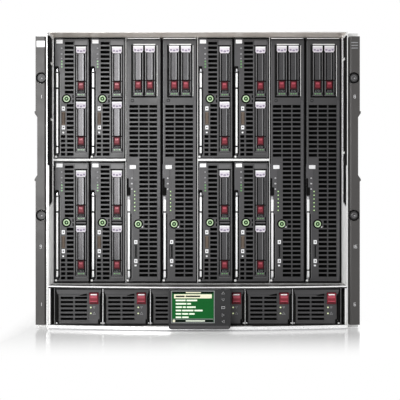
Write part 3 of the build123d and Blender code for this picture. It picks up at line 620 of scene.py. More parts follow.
drive_looks = by_part({
    "label_white": {"label": lilac, "label_edge": white, "label_marks": lilac_deep},
    "drive_grey": {"handle": handle_metal, "handle_highlight_strip": handle_highlight_metal, "rails": rail_grey,
                   "lens": carrier_rail, "dots": icon_grey},
    "black_plastic": {"painted_gap_shade": black},
    "release_maroon": {"key": maroon, "key_shade": maroon_painted_shade, "key_shine": rose_painted_highlight},
    "button_green": {"lamps": green_light},
})


def drive_trim(foot, centre):
    """Forms of one drive's trim, given the height of its foot and its middle."""
    forms = defaultdict(Form)
    plates(forms, drive_plates, centre, foot)
    tablet(forms["label"], moved(label_outline, centre, foot), -0.8, -1.5, 0.25)
    for row in range(2):
        for column in range(4):
            x = centre - 3.3 + column * 2.2 + 0.4 * row
            tablet(forms["dots"], disc(x, foot + 6.6 + row * 1.9, 0.5, 8), -0.8, -1.2, 0.12)
    return forms


# Blade trim
# back, front, corner and rim of the black lines painted as shade along the bezel's edges, its gaps
# and the drive frames
shade_line_shape = (0.3, -0.3, 0.4, 0.05)
frame_shade_line_shape = (0.3, -0.12, 0.4, 0.05)


def strip_trim(forms, tall, height):
    """Control strip of a blade: panel, plate, icons, lamps and marks."""
    top, middle = (height - 198.8, -18.5) if tall else (height - 6.3, -16.1)
    left, low = (middle - 8.0, top - 72.0) if tall else (middle - 10.1, top - 40.6)
    badge = middle - (3.4 if tall else 8.2)
    plates(forms, {
        "panel": [(left, middle + 2.8, low, top + 4.8, 0.3, -0.45, 1.4, 0.25)],
        "badge": [(badge, badge + 9.8, top - 3.0, top + 2.8, -0.2, -0.95, 0.8, 0.25)],
    })
    icon_drops = (17.2, 25.6, 33.9) if tall else (10.2, 19.0, 26.0)
    for drop, width in zip(icon_drops, (2.4, 2.8, 2.2)):
        plate(forms["icons"], middle - width / 2, middle + width / 2, top - drop - 1.1,
              top - drop + 1.1, 0.3, -0.6)
    lamp_x = middle + (4.4 if tall else 0.2)
    for drop in (37.7, 43.4, 49.2, 55.0, 60.8, 66.6) if tall else (30.3, 34.6, 38.9):
        tablet(forms["lamps"], disc(lamp_x, top - drop, 1.3, 12), 0.3, -0.7, 0.25)
        if tall:
            dome(forms["cores"], lamp_x, top - drop, 0.75, -0.6, -1.0, 12)
    if tall:
        marks = [(-2.8, 85.4, 1.2, 1.2), (-12.4, 62.0, 2.5, 3.0), (-12.4, 32.8, 2.5, 3.0),
                 (-12.8, 25.9, 1.6, 1.2)]
    else:
        marks = [(-13.5, 77.1, 2.4, 3.2), (-13.5, 47.9, 2.4, 3.0), (-13.7, 40.2, 1.3, 1.2)]
    for x, z, wide, rise in marks:
        plate(forms["marks"], x - wide, x + wide, z - rise, z + rise, 0.3, -0.35, rim=0.1)
        if wide > 2:
            plate(forms["signs"], x - 0.9, x + 0.9, z - 0.9, z + 1.0, -0.2, -0.5, 0.4, 0.05)


def bezel_trim(forms, tall, height):
    """Lever catch and bars of a blade's bezel, with lighter rims and bars painted as highlights on
    lit edges and black lines painted as shade.
    """
    plates(forms, {
        "painted_shade_lines": [(-20.4, -18.9, 6.5, 134.6, 0.3, -0.08, 0.4, 0.05),
                  (-26.9, -25.6, 146.5, height - 3.0, *shade_line_shape),
                  (25.2, 26.9, 1.0, height - 3.0, *shade_line_shape), (-26.9, 26.9, 0.1, 1.6, *shade_line_shape)],
        # raised rims in a lighter grey that paints the highlights on the bezel's lit edges
        "rim_highlights": [(-18.7, -17.6, 6.5, 130.0, 0.3, -0.2, 0.4, 0.1),
                 (-25.4, -24.2, 148.0, height - 6.0, 0.3, -0.35, 0.4, 0.1)],
    })
    if tall:
        plates(forms, {
            "catch": [(-26.3, -20.4, 133.4, 146.0, 0.3, -1.0, 1.2, 0.4),
                      (-26.3, -23.2, 144.0, 160.0, 0.3, -0.8, 1.0, 0.3)],
            # pale bars along the top edge, over the drive bay and down the right edge, painted as
            # highlights on lit edges
            "painted_highlight_bars": [(-25.0, 24.6, height - 2.1, height - 0.9, 0.3, -0.5, 0.4),
                          (-16.2, 17.6, height - 11.4, height - 9.8, 0.3, -0.5, 0.4),
                          (19.9, 20.7, 286.0, 364.0, 0.3, -0.45, 0.3)],
            "painted_shade_lines": [(-25.0, 24.6, height - 4.0, height - 2.3, *shade_line_shape),
                      (-19.6, -18.0, 284.0, 365.0, *frame_shade_line_shape),
                      (18.6, 19.7, 284.0, 365.0, *frame_shade_line_shape),
                      (-18.8, 19.4, 283.8, 285.8, *frame_shade_line_shape)],
            # the bottom bar and the right-hand bar are lighter strips painted as highlights on the
            # bezel's lit edges
            "bars": [(-18.0, 23.6, 1.9, 3.2, 0.3, -0.5, 0.4),
                     (21.4, 24.8, 3.0, 280.0, 0.3, -0.35, 1.2, 0.3)],
        })
        boss = [(2.9, 0.3), (2.6, -0.35), (1.9, -0.45), (1.5, -0.2), (1.5, 0.3)]
        turned(forms["boss"], -17.5, 279.4, boss, 20)
        return
    plates(forms, {
        "catch": [(-26.3, -20.4, 134.6, 142.0, 0.3, -1.0, 1.2, 0.4)],
        "catch_bit": [(-24.0, -21.7, 133.4, 138.0, -0.4, -1.7, 0.9, 0.4)],
        "painted_shade_lines": [(-26.9, 26.9, height - 2.6, height - 0.6, *shade_line_shape),
                  (3.4, 24.0, height - 13.2, height - 11.9, *shade_line_shape),
                  (4.8, 22.8, 88.4, 94.6, 0.3, -0.9, 0.5)],
        # lighter grey rims and bars round the drive bay and along the right edge, painted as
        # highlights on lit edges
        "rim_highlights": [(4.9, 22.6, 6.6, 7.8, 0.3, -0.6, 0.5), (4.9, 22.6, 10.2, 11.2, 0.3, -0.6, 0.5),
                 (3.2, 4.3, 14.0, height - 14.0, 0.3, -0.5, 0.4, 0.15),
                 (4.5, 23.2, height - 11.6, height - 4.4, 0.3, -0.5, 0.9, 0.3),
                 (23.6, 25.0, 3.0, height - 6.0, 0.3, -0.35, 0.6, 0.3)],
        "bars": [(6.4, 21.4, 90.3, 92.9, -0.6, -1.4, 0.8, 0.3)],
    })


def button_trim(forms, z):
    """Surround, rings and centre of the power button at the height z."""
    x = -8.6
    for part, profile in {
        "surround": [(7.3, 0.4), (7.0, -0.9), (6.2, -1.2), (5.25, -0.7), (5.25, 0.4)],
        "ring": [(5.0, -0.6), (4.8, -1.4), (3.7, -1.5), (3.2, -1.2), (3.2, -0.6)],
        "ring_inner": [(3.1, -0.6), (2.9, -1.0), (1.6, -1.0), (1.3, -0.6)],
    }.items():
        turned(forms[part], x, z, profile)
    tablet(forms["centre"], disc(x, z, 1.15, 20), -0.6, -1.4, 0.4)
    tablet(forms["base"], disc(x, z, 5.1), 0.4, -0.8, 0.2)


def tab_trim(forms, left, right, low, high):
    """Finger lip of the pull tab with grip ridges, and its plate where no tab is modelled."""
    plates(forms, {
        "plate": [(left, right, low, high, 0.3, -0.4, 0.8)],
        "ridges": [(x, x + 0.8, low + 1.0, high - 1.0, 0.1, -0.9, 0.3)
                   for x in (left + 1.7, left + 3.2)],
        "hooks": [(x, x + 0.7, low + 1.2, high - 1.2, 0.1, -0.7, 0.3, 0.15)
                  for x in (left + 0.5, right - 1.1)],
    })


def lever_trim(forms, top_left, top):
    """Bright caps and dark joints of the release lever, and the pale foot under it."""
    plates(forms, {
        "foot": [(-26.4, -23.2, 1.4, 4.6, 0.3, -0.8, 0.8, 0.3)],
        "lever_cap": [(*cap, 0.2, -1.0, 0.9, 0.4) for cap in (
            (-24.3, -21.5, 8.4, 17.9), (-24.3, -21.5, 19.7, 107.2),
            (top_left, -21.3, 109.2, top))],
        "lever_joints": [(-25.4, -21.0, z - 0.9, z + 0.9, 0.2, -0.95, 0.3) for z in (18.8, 108.2)],
    })


def blade_trim(tall):
    """Forms of a whole blade's trim, apart from its drives."""
    low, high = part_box(full_blades[0] if tall else half_blades[0])
    height = (high.z - low.z) / MM
    forms = defaultdict(Form)
    strip_trim(forms, tall, height)
    bezel_trim(forms, tall, height)
    button_trim(forms, 89.7 if tall else 92.0)
    tab_trim(forms, *((-15.0, -9.6, 37.6, 57.6) if tall else (-16.2, -10.6, 52.4, 71.4)))
    lever_trim(forms, *((-25.0, 127.4) if tall else (-24.3, 131.6)))
    return forms


def blade_looks(tall):
    """Material and slot of each part of a blade's trim."""
    return by_part({
        "graphite_plastic": {"panel": strip_grey, "bars": strip_grey, "rim_highlights": rim_grey,
                             "signs": black, "boss": graphite_dark},
        "label_white": {"badge": white, "marks": white, "painted_highlight_bars": pale_sheet,
                        "icons": icon_pale if tall else icon_grey},
        "button_green": {"lamps": green_light, "cores": pale_light, "ring": button_light,
                         "ring_inner": button_deep, "centre": button_core},
        "black_plastic": {"catch": black, "painted_shade_lines": black, "surround": black,
                          "base": graphite_dark, "lever_joints": black},
        "bright_lever": {"catch_bit": chrome, "foot": pale_sheet, "lever_cap": bright},
        "tab_brown": {"plate": graphite_dark if tall else brown,
                      "ridges": black if tall else brown,
                      "hooks": rim_grey if tall else brown_deep},
    })


# Parts that ride on a piece of their own: on every blade, and on those with moving details
riders = {"lever_cap": "_lever", "lever_joints": "_lever"}
open_riders = {"ring": "_power_button", "ring_inner": "_power_button", "centre": "_power_button",
               "ridges": "_pull_tab", "hooks": "_pull_tab"}
drive_places = {False: [(10.3, 13.7), (94.9, 13.7)], True: [(286.3, -8.7), (286.3, 9.3)]}
meshes = {}


def shared(key, form, look, name, body, place):
    """Piece whose mesh is shared with the same trim elsewhere."""
    made = piece(meshes.get(key, form), name, look, body, place)
    meshes[key] = made.data


for tall, group in ((False, half_blades), (True, full_blades)):
    forms, looks = blade_trim(tall), blade_looks(tall)
    drives = [drive_trim(foot, centre) for foot, centre in drive_places[tall]]
    for name in group:
        place = (middle_x(name), blade_front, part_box(name)[0].z)
        moving = name in opened
        for part, form in forms.items():
            if moving and part in ("base", "plate"):
                continue
            rider = riders.get(part, open_riders.get(part, "") if moving else "")
            shared((tall, part), form, looks[part], f"{name}_{part}", name + rider, place)
        for number, drive in enumerate(drives, start=1):
            tray = f"{name}_drive_{number}"
            for part, form in drive.items():
                shared((tall, number, part), form, drive_looks[part], f"{tray}_{part}",
                       tray if moving else name, place)


# Power supply trim, with x from the middle of the supply and z from the ground
supply_plates = {
    "latch_cap": [(15.9, 28.5, 37.2, 53.0, -3.4, -5.4, 2.6, 1.0, 4)],
    # on the latch cap: a white strip painted as the highlight along its top, lighter rose bands
    # painted as sheen, and a darker foot painted as shade
    "latch_shine": [(17.4, 27.0, 50.0, 51.8, -4.9, -5.7, 0.7, 0.2)],
    "latch_painted_sheen": [(17.0, 27.4, 45.4, 49.4, -4.9, -5.9, 1.0, 0.6),
                   (17.0, 27.4, 40.2, 41.6, -4.9, -5.9, 0.6, 0.3)],
    "latch_painted_shade": [(16.8, 27.6, 37.9, 39.6, -4.9, -5.6, 0.7, 0.2)],
    # black lines painted as shade along the top, the sides and the foot of the supply's bezel
    "edges": [(-34.3, 34.3, 58.2, 59.5, -2.8, -3.25, 0.3, 0.05, 2)],
    "frame": [(*side, 0.3, -0.5, 0.3, 0.25, 2) for side in (
        (-30.6, -29.6, 9.0, 48.6), (13.0, 13.8, 12.0, 47.6), (-29.0, 12.6, 10.0, 10.9),
        (29.6, 30.5, 14.0, 34.0), (-31.6, 30.4, 56.4, 57.4))],
    "corners": [(*side, 0.3, -0.6, 0.2, 0.05, 2) for side in (
        (-31.1, -30.6, 6.2, 48.0), (30.4, 31.1, 6.2, 48.0), (-31.1, 31.1, 6.1, 7.3),
        (28.2, 31.1, 6.2, 13.8))],
}
supply_looks = by_part({
    "release_maroon": {"latch_cap": maroon, "latch_shine": white, "latch_painted_sheen": rose_painted_highlight,
                       "latch_painted_shade": maroon_painted_shade},
    "graphite_plastic": {"frame": ear_grey},
    "black_plastic": {"edges": black, "corners": black, "wedge": black},
    "label_white": {"pins": white, "icons": icon_grey},
    "button_green": {"lamps": pale_light},
})
supply_icons = (
    [(20.4, 32.2), (24.0, 32.2), (24.0, 32.8), (20.4, 32.8)],
    [(22.2, 29.6), (22.5, 30.2), (21.0, 32.4), (20.4, 32.4)],
    [(21.9, 30.2), (22.2, 29.6), (24.0, 32.4), (23.4, 32.4)],
    [(20.0, 20.8), (24.6, 20.8), (24.6, 21.4), (20.0, 21.4)],
    [(20.0, 21.2), (20.6, 21.2), (22.6, 24.4), (22.3, 25.0)],
    [(24.0, 21.2), (24.6, 21.2), (22.3, 25.0), (22.0, 24.4)],
)
forms = defaultdict(Form)
plates(forms, supply_plates)
for x in (-33.2, 33.2):
    dome(forms["pins"], x, 8.3, 1.3, 0.5, -4.2)
wedge_outline = [(0.0, 49.0), (11.8, 49.0), (11.8, 52.4), (6.0, 51.4)]
tablet(forms["wedge"], wedge_outline, -2.4, -3.35, 0.3)
for z in (31.4, 22.5):
    tablet(forms["lamps"], disc(17.4, z, 1.15, 16), 0.3, -0.5, 0.3)
for outline in supply_icons:
    tablet(forms["icons"], outline, 0.3, -0.2, 0.05)
for name in supplies:
    moving = name in frame["bodies"]
    for part, look in supply_looks.items():
        carrier = name if moving else "enclosure"
        if moving and part in ("wedge", "edges", "pins"):
            carrier = name + "_bail"
        shared(("supply", part), forms[part], look, f"{name}_{part}", carrier,
               (middle_x(name), supply_front, 0))


# Display
head_place = (middle_x("display_head"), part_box("display_head")[0].y + 0.0006, 0)
word_rows = ((14.5, 15.5), (15.5, 5.5), (9.0, 4.5, 13.0), (8.0, 16.5, 12.0), (8.0, 9.0, 8.0),
             (8.0, 9.5))
words = []
for row, lengths in enumerate(word_rows):
    left, z = -34.6, 45.6 - row * 4.9
    for length in lengths:
        words.append((left, left + length, z - 1.15, z + 1.15, 0.5, 2))
        left += length + 1.3


def on_display(name, outlines, look, back, front, rim=0.08, body="display_head"):
    form = Form()
    for outline in outlines:
        tablet(form, outline, back, front, rim)
    piece(form, "display_" + name, look, body, head_place)


for name, material, back, front, bars in (
    ("border", icon_grey, 1.1, 0.3, [
        (-41.2, -40.1, 12.6, 59.8, 0.3, 2), (20.9, 22.0, 12.6, 59.8, 0.3, 2),
        (-40.1, 20.9, 12.6, 13.7, 0.3, 2), (-40.1, 20.9, 58.7, 59.8, 0.3, 2)]),
    ("rows", screen_text, 1.1, 0.85, words),
    ("top", screen_ink, 1.1, 0.95, [(-39.4, 20.2, 55.4, 58.5, 0.4)]),
    ("header", cream, 0.98, 0.85, [(-20.0, 2.0, 56.2, 57.7, 0.4, 2)]),
    ("choice", cream, 1.1, 0.8, [(-37.0, 17.9, 48.6, 54.6, 0.5)]),
    ("choice_row", screen_ink, 0.85, 0.7, [
        (-34.6, -21.6, 50.5, 52.7, 0.4, 2), (-20.2, 1.0, 50.5, 52.7, 0.4, 2)]),
    ("rule", icon_grey, 1.1, 0.85, [(-39.4, 20.2, 18.0, 18.9, 0.3, 2)]),
    ("footer", screen_ink, 1.1, 0.95, [(-39.4, 20.2, 13.9, 17.6, 0.4)]),
    ("footer_row", screen_text, 0.98, 0.85, [(-20.0, 8.0, 15.0, 16.6, 0.4, 2)]),
):
    on_display(name, [rounded(*bar) for bar in bars], (material, "screen_green"), back, front)
on_display("pointer", [disc(-37.2, 15.8, 2.0, 16)], (cream, "screen_green"), 0.98, 0.8)
on_display("chin", [rounded(-43.0, 43.0, 4.6, 8.8, 1.6)], (graphite, "graphite_plastic"),
           0.3, -0.4, 0.3)
key_middle, key_scale = 34.4, 1.3
arrows = {
    "up": (56.4, [(-2.0, -1.2), (2.0, -1.2), (0.0, 1.6)]),
    "down": (46.7, [(-2.0, 1.2), (0.0, -1.6), (2.0, 1.2)]),
    "choose": (35.4, [(-2.0, -1.3), (2.0, -1.3), (2.0, 1.3), (-2.0, 1.3)]),
    "right": (24.3, [(-1.4, -1.7), (1.6, 0.0), (-1.4, 1.7)]),
    "left": (15.1, [(1.4, -1.7), (1.4, 1.7), (-1.6, 0.0)]),
}
for name, (z, points) in arrows.items():
    body = "display_select_key" if name == "choose" else "display_head"
    outline = moved([(key_scale * x, key_scale * rise) for x, rise in points], key_middle, z)
    on_display(f"arrow_{name}", [outline], (icon_pale, "label_white"), -0.4, -0.75, body=body)
    on_display(f"arrow_{name}_core", [inset(outline, 0.62)], (graphite_dark, "black_plastic"),
               -0.5, -0.82, 0.03, body)


# Front of the enclosure: a grey line painted as shade along the foot of the lip, lines of the supply
# dividers, and a pale strip on the deck painted as a highlight
front = defaultdict(Form)
bow = (front_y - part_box("power_cage")[0].y) / MM
half = inner_half / MM
# grey line along the foot of the bowed lip, painted as shade where it meets the floor
lip_rings = []
for step in range(49):
    x = half * (step / 24 - 1) * 0.998
    y = -bow * (1 - (x / half) ** 2)
    lip_rings.append([(x, y + 0.5, 0.1), (x, y + 0.5, 0.9), (x, y - 0.4, 0.9), (x, y - 0.4, 0.1)])
front["lip_line"].add(lip_rings)
strip_z = deck_top / MM
# a pale strip on the deck, painted as the highlight on the lit bottom edges of the blades above it
plate(front["deck_painted_highlight"], -220.0, 220.0, strip_z - 0.1, strip_z + 0.15, 33.0, 23.0, 0.1, 0.02, 1)
supply_pitch = 70.6
for number in range(-2, 3):
    x = number * supply_pitch
    plate(front["divider_lines"], x - 0.5, x + 0.5, 6.0, 60.0, 9.0, 1.2, 0.2, 0.15, 2)

# Ears: badge, slips, plain numerals and knobs
segments = {
    "1": "bc", "2": "abged", "5": "afgcd", "6": "afgedc", "8": "abcdefg", "9": "abfgcd",
}


def numeral(digit, x, z, size=5.0):
    """Plain numeral made of straight bars, with its middle at x and z."""
    wide, thick, tall = size * 0.28, size * 0.09, size / 2
    bars = {
        "a": (-wide, wide, tall - thick, tall), "g": (-wide, wide, -thick / 2, thick / 2),
        "d": (-wide, wide, -tall, thick - tall), "b": (wide - thick, wide, 0, tall),
        "c": (wide - thick, wide, -tall, 0), "f": (-wide, thick - wide, 0, tall),
        "e": (-wide, thick - wide, -tall, 0),
    }
    for segment in segments[digit]:
        left, right, low, high = bars[segment]
        plate(front["ear_numerals"], x + left, x + right, z + low, z + high, 0.3, -0.3,
              thick / 4, 0.01, 1)


ear_middle, knob_middle = 233.6, 232.55
knob_profiles = {
    "knob_rings": [(7.2, 0.6), (7.1, 0.15), (6.6, 0.0), (5.9, 0.1), (5.8, 0.6)],
    "knob_bosses": [(4.0, 0.6), (3.8, 0.1), (3.2, -0.1), (2.5, 0.1), (2.4, 0.6)],
}
plate(front["ear_badge"], -ear_middle - 6.2, -ear_middle + 6.2, 418.8, 428.4, 0.6, -0.4, 1.2,
      0.3, 4)
for z in (425.6, 421.4, 417.4):
    plate(front["ear_slips"], ear_middle - 5.0, ear_middle + 5.0, z - 0.7, z + 0.7, 0.4, -0.3,
          0.4, 0.1, 2)
for side, numbers in ((-1, ("1", "9", "1")), (1, ("8", "16", "6"))):
    for text, z in zip(numbers, (345.0, 122.0, 36.0)):
        for index, digit in enumerate(text):
            numeral(digit, side * ear_middle + (index - (len(text) - 1) / 2) * 4.0, z)
    x = side * knob_middle
    for z in (168.5, 373.0):
        grip = []
        for step in range(96):
            radius = 7.5 if step % 4 in (0, 1) else 7.15
            grip.append(polar(x, z, radius, 2 * math.pi * step / 96))
        tablet(front["knob_grips"], grip, 6.0, 0.3, 0.7)
        for part, profile in knob_profiles.items():
            turned(front[part], x, z, profile)
        dome(front["knob_glints"], x + 0.6, z - 0.5, 1.0, 0.6, -0.3)

# Posts, tabs and lines round the mouth of the enclosure, with black plates painted as shade in the
# side wells and pale lines painted as highlights on lit sheet edges
well_low = 243.0


def at_side(part, side, near, far, *rest):
    """Plate between two distances from the middle, on one side of it."""
    left, right = sorted((side * near, side * far))
    plate(front[part], left, right, *rest, 2)


for side in (-1, 1):
    at_side("spacer_lines", side, 212.6, 213.5, 6.0, 60.0, 7.6, 0.6, 0.3, 0.1)
    at_side("bay_posts", side, half - 0.1, half - 3.0, 5.7, 61.7, 7.6, 0.4, 0.5, 0.4)
    at_side("well_shades", side, 220.7, 222.2, well_low, 436.0, 14.0, 0.3, 0.3, 0.1)
    # pale metal lines on the bare sheet edges, drawn brighter as painted highlights
    at_side("edge_highlight_lines", side, 220.4, 221.2, well_low, 436.0, 45.0, 41.5, 0.3, 0.1)
for side, z in ((-1, 397.5), (-1, 312.7), (1, 262.6), (1, 404.0)):
    at_side("side_tabs", side, half - 0.1, half - 1.4, z - 1.6, z + 1.6, 40.0, 14.0, 0.3, 0.2)
# black plate painted as shade over the sleeve's front edge, and a pale line painted as the highlight
# on the ear's inner edge
at_side("well_shades", -1, 222.2, 223.6, well_low, 440.0, 0.3, -0.2, 0.3, 0.05)
at_side("edge_highlight_lines", -1, 223.9, 224.9, 4.0, 438.0, 0.6, -0.35, 0.4, 0.1)
fixed(front, {
    "zinc_sheet": {"divider_lines": lip_sheet, "lip_line": icon_pale, "deck_painted_highlight": pale_sheet,
                   "spacer_lines": rail_grey, "edge_highlight_lines": lip_sheet, "bay_posts": pale_sheet,
                   "side_tabs": pale_sheet},
    "label_white": {"ear_badge": white, "ear_slips": icon_grey, "ear_numerals": white},
    "black_steel": {"knob_grips": black_steel, "knob_rings": black, "knob_bosses": rim_grey,
                    "knob_glints": icon_pale},
    "black_plastic": {"well_shades": black},
}, (0, front_y, 0))


# Rear: fans with guards and rotors, modules with ports, and mains inlets
rear = defaultdict(Form)
pocket = 5.0


def fan(x, z):
    """Guard, rotor, grip, screws and lamp of one fan module."""
    for radius in (11.0, 16.5, 22.0, 27.5, 33.0):
        wire = [(radius - 0.6, 0.9), (radius, 0.3), (radius + 0.6, 0.9), (radius, 1.5)]
        turned(rear["fan_guards"], x, z, wire, 36)
    for arm in range(4):
        angle = math.radians(45 + 90 * arm)
        dx, dz = math.cos(angle), math.sin(angle)
        corners = ((8.0, 0.9), (37.0, 0.9), (37.0, -0.9), (8.0, -0.9))
        outline = [(x + dx * out + dz * wide, z + dz * out - dx * wide) for out, wide in corners]
        tablet(rear["fan_guards"], outline, 1.7, 0.9, 0.2)
    tablet(rear["fan_rotors"], disc(x, z, 13.0), pocket - 0.2, 1.8, 0.8)
    for fin in range(7):
        outline = []
        for radius, lead in ((12.5, 0.0), (24.0, 0.10), (36.0, 0.24), (35.0, 0.62),
                             (23.0, 0.52), (12.5, 0.42)):
            outline.append(polar(x, z, radius, 2 * math.pi * fin / 7 + lead))
        tablet(rear["fan_rotors"], outline, pocket - 0.3, 3.0, 0.3)
    for dx in (-39.6, 39.6):
        for dz in (-39.6, 39.6):
            dome(rear["fan_grips"], x + dx, z + dz, 2.4, 0.1, -0.8)
    plate(rear["fan_grips"], x - 12.0, x + 12.0, z - 42.8, z - 39.4, 0.2, -5.0, 1.4, 0.8)
    tablet(rear["fan_lamps"], disc(x + 30.0, z - 41.2, 1.3, 12), 0.2, -0.6, 0.3)


port_plates = {
    "port_frames": [(-5.6, 5.6, -6.4, 6.2, 3.2, 0.9, 0.7)],
    "port_wells": [(-4.5, 4.5, -4.6, 3.6, 1.2, 0.7, 0.5, 0.1)],
    "port_lamps": [(-4.4, -2.8, 4.3, 5.5, 1.1, 0.6, 0.2, 0.1)],
    "port_contacts": [(left, left + 0.6, 1.6, 3.3, 0.9, 0.5, 0.1, 0.05)
                      for left in (-2.5, -1.1, 0.3, 1.7)],
}
module_plates = {
    "module_grips": [(78.0, 102.0, -6.0, 6.0, 0.2, -2.4, 1.6, 0.5),
                     (82.0, 98.0, -2.4, 2.4, -2.2, -7.0, 1.6, 1.0)],
}
inlet_plates = {
    "inlet_pins": [(x - 1.0, x + 1.0, z - 2.4, z + 2.4, 19.1, 6.0)
                   for x, z in ((-7.0, -2.5), (7.0, -2.5), (0.0, 4.0))],
    "inlet_frames": [(*bar, 0.2, -0.6, 0.4) for bar in (
        (-17.6, -15.8, -13.4, 13.4), (15.8, 17.6, -13.4, 13.4),
        (-15.8, 15.8, 11.7, 13.4), (-15.8, 15.8, -13.4, -11.7))],
}


def module(centre, z):
    """Two banks of ports, lamps, grip and screws of one rear module."""
    for bank in (-55.0, 15.0):
        for port in range(5):
            plates(rear, port_plates, centre + bank + (port - 2) * 12.0, z)
    for x in (centre + 62.0, centre + 70.0):
        tablet(rear["port_lamps"], disc(x, z + 6.0, 1.2, 12), 0.2, -0.4, 0.2)
    plates(rear, module_plates, centre, z)
    for x in (centre - 104.5, centre + 106.5):
        dome(rear["module_screws"], x, z, 3.0, 0.1, -2.4)


def inlet(x, z=28.5):
    """Three flat pins deep in the socket, a frame round it and two screws."""
    plates(rear, inlet_plates, x, z)
    for dx in (-24.0, 24.0):
        dome(rear["inlet_screws"], x + dx, z, 3.2, 0.1, -1.4)


fan_low, fan_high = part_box("fan_modules")
fan_pitch = (fan_high.x - fan_low.x + 0.0008) / 5 / MM
fan_half = 43.6
for z in (fan_low.z / MM + fan_half, fan_high.z / MM - fan_half):
    for column in range(5):
        fan((column - 2) * fan_pitch, z)
bank_low, bank_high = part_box("interconnect_modules")
bank_pitch = (bank_high.z - bank_low.z + 0.0018) / 4 / MM
module_rows = [bank_low.z / MM + 20.5 + row * bank_pitch for row in range(4)]
module_rows.append(sum(corner.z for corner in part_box("admin_modules")) / 2 / MM)
for centre in (-111.4, 111.4):
    for z in module_rows:
        module(centre, z)
for name in supplies:
    inlet(-middle_x(name) / MM)
fixed(rear, {
    "bright_lever": {"fan_guards": chrome, "port_frames": chrome, "port_contacts": gold,
                     "module_screws": chrome, "inlet_pins": chrome},
    "graphite_plastic": {"fan_rotors": graphite_dark, "inlet_frames": graphite_dark},
    "black_steel": {"fan_grips": black_steel, "inlet_screws": black_steel},
    "button_green": {"fan_lamps": green_light, "port_lamps": green_light},
    "black_plastic": {"port_wells": black},
    "release_maroon": {"module_grips": maroon},
}, (0, rear_y, 0), "rear")


# Sides and top: rivets, pressed ribs and straps
sheet = defaultdict(Form)
half_sleeve = 0.2235
length = (rear_y - front_y) / MM
tall_side = shell_high.z / MM
for x in (-length / 2 + 34.0, length / 2 - 14.0, 128.0):
    for row in range(9):
        dome(sheet["rivets"], x, 22.0 + row * (tall_side - 44.0) / 8, 2.4, 0.05, -0.9)
for z in (14.0, tall_side - 14.0):
    for column in range(9):
        dome(sheet["rivets"], -length / 2 + 74.0 + column * 80.0, z, 2.4, 0.05, -0.9)
for z in (118.0, 324.0):
    plate(sheet["ribs"], -length / 2 + 70.0, 100.0, z - 9.0, z + 9.0, 0.05, -1.6, 8.0, 1.4)
plates(sheet, {"straps": [
    (118.0, 138.0, 6.0, tall_side - 6.0, 0.05, -0.8, 1.0, 0.3),
    (176.0, length / 2 - 26.0, 60.0, tall_side - 60.0, 0.05, -0.8, 4.0, 0.3),
]})
side_looks = by_part({
    "bright_lever": {"rivets": chrome},
    "zinc_sheet": {"ribs": zinc, "straps": zinc},
})
for facing, x in (("right", half_sleeve), ("left", -half_sleeve)):
    for part, look in side_looks.items():
        piece(sheet[part], f"side_{facing}_{part}", look, "enclosure", (x, 0, 0), facing)
top = defaultdict(Form)
for y in (-length / 2 + 20.0, 128.0, length / 2 - 14.0):
    for column in range(9):
        dome(top["top_rivets"], (column - 4) * 51.0, y, 2.4, 0.05, -0.9)
plate(top["top_panels"], -218.0, 218.0, 118.0, 138.0, 0.05, -0.7, 1.0, 0.3)
for x in (-110.0, 110.0):
    plate(top["top_panels"], x - 80.0, x + 80.0, -300.0, 70.0, 0.05, -1.2, 12.0, 1.0)
fixed(top, {"bright_lever": {"top_rivets": chrome}, "zinc_sheet": {"top_panels": zinc}},
      (0, 0, shell_high.z), "top")


# Stage, light and camera
def seen_directly(tree):
    """One for camera, mirror and glass rays, nothing for the light that falls on surfaces."""
    rays = add_node(tree, "LightPath").outputs
    glossy = maths(tree, "MAXIMUM", rays["Is Camera Ray"], rays["Is Glossy Ray"])
    return maths(tree, "MAXIMUM", glossy, rays["Is Transmission Ray"])


def backdrop(tree, strength):
    values = {"Color": (1.0, 1.0, 1.0, 1.0), "Strength": strength}
    return add_node(tree, "Background", values).outputs["Background"]


def mixed(tree, factor, first, second, output):
    """Two shaders blended by a factor, linked to the tree's output."""
    blend = add_node(tree, "MixShader", Fac=factor)
    tree.links.new(first, blend.inputs[1])
    tree.links.new(second, blend.inputs[2])
    tree.links.new(blend.outputs[0], output.inputs["Surface"])


sky_light = 0.25
world = bpy.data.worlds.new("studio")
bpy.context.scene.world = world
world.use_nodes = True
tree = world.node_tree
tree.nodes.clear()
mixed(tree, seen_directly(tree), backdrop(tree, sky_light), backdrop(tree, 1.0),
      add_node(tree, "OutputWorld"))

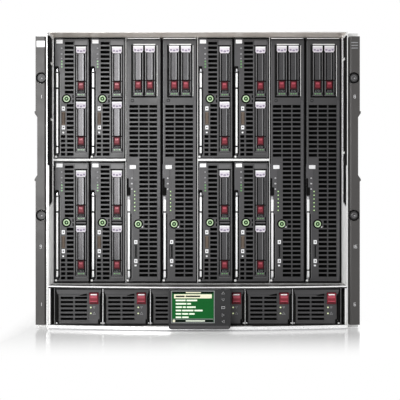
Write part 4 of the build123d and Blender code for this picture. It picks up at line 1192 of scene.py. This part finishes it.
floor_half = 6.0
corners = [(x * floor_half, y * floor_half, 0) for x, y in ((-1, -1), (1, -1), (1, 1), (-1, 1))]
floor_mesh = bpy.data.meshes.new("floor")
floor_mesh.from_pydata(corners, [], [(0, 1, 2, 3)])
floor = bpy.data.objects.new("floor", floor_mesh)
floor.location = (0, 0, -0.0005)
bpy.context.scene.collection.objects.link(floor)
floor_material, tree, shader, place = new_material("floor_pale", 0.14)
haze = tones(tree, noise(tree, place, 1.5), (0.86, 0.86, 0.86), (0.90, 0.90, 0.90))
tree.links.new(haze, shader.inputs["Base Color"])
parts = add_node(tree, "SeparateXYZ", Vector=place)
across, along = parts.outputs["X"], parts.outputs["Y"]
beside = ramp(tree, maths(tree, "ABSOLUTE", across), 0.235, 0.29, 0.0, 1.0, "SMOOTHSTEP")
before = ramp(tree, along, front_y - 0.02, front_y - 0.27, 0.22, 1.0, "SMOOTHSTEP")
behind = ramp(tree, along, rear_y, rear_y + 0.10, 0.0, 1.0, "SMOOTHSTEP")
away = maths(tree, "MAXIMUM", maths(tree, "MAXIMUM", beside, before), behind)
glow = add_node(tree, "Emission").outputs["Emission"]
mixed(tree, maths(tree, "MULTIPLY", away, seen_directly(tree)), shader.outputs["BSDF"], glow,
      tree.nodes["Material Output"])
floor_mesh.materials.append(floor_material)


def lamp(name, place, target, size, radiance):
    """Rectangular soft lamp with a given radiance."""
    data = bpy.data.lights.new(name, "AREA")
    data.shape = "RECTANGLE"
    data.size, data.size_y = size
    data.energy = radiance * math.pi * size[0] * size[1]
    made = bpy.data.objects.new(name, data)
    made.location = place
    aim = Vector(target) - Vector(place)
    made.rotation_euler = aim.to_track_quat("-Z", "Y").to_euler()
    bpy.context.scene.collection.objects.link(made)


lamp("soft_left", (-0.27, front_y - 1.0, 0.40), (-0.15, front_y, 0.28), (0.30, 0.62), 9.6)
lamp("side_right", (1.3, front_y - 0.27, 0.30), (-0.22, front_y + 0.03, 0.2), (0.6, 0.7), 7.0)
lamp("side_left", (-1.3, front_y - 0.27, 0.30), (0.22, front_y + 0.03, 0.2), (0.6, 0.7), 9.0)
lamp("fill_top", (0.2, 0.1, 1.7), (0, 0, 0.4), (1.4, 1.4), 0.8)
lamp("fill_rear", (0.5, rear_y + 1.2, 0.7), (0, rear_y, 0.2), (1.0, 0.8), 1.8)

camera_data = bpy.data.cameras.new("camera")
camera = bpy.data.objects.new("camera", camera_data)
bpy.context.scene.collection.objects.link(camera)
bpy.context.scene.camera = camera
distance = 1.55
frame_width = 0.5952
eye_level = 0.2062
picture_side = 400
camera.location = (0, front_y - distance, eye_level)
camera.rotation_euler = (math.radians(90), 0, 0)
camera_data.sensor_width = 36.0
camera_data.lens = camera_data.sensor_width * distance / frame_width
camera_data.shift_x = 2.3 / picture_side
camera_data.shift_y = -10.0 / picture_side
bpy.context.scene.view_settings.view_transform = "Standard"
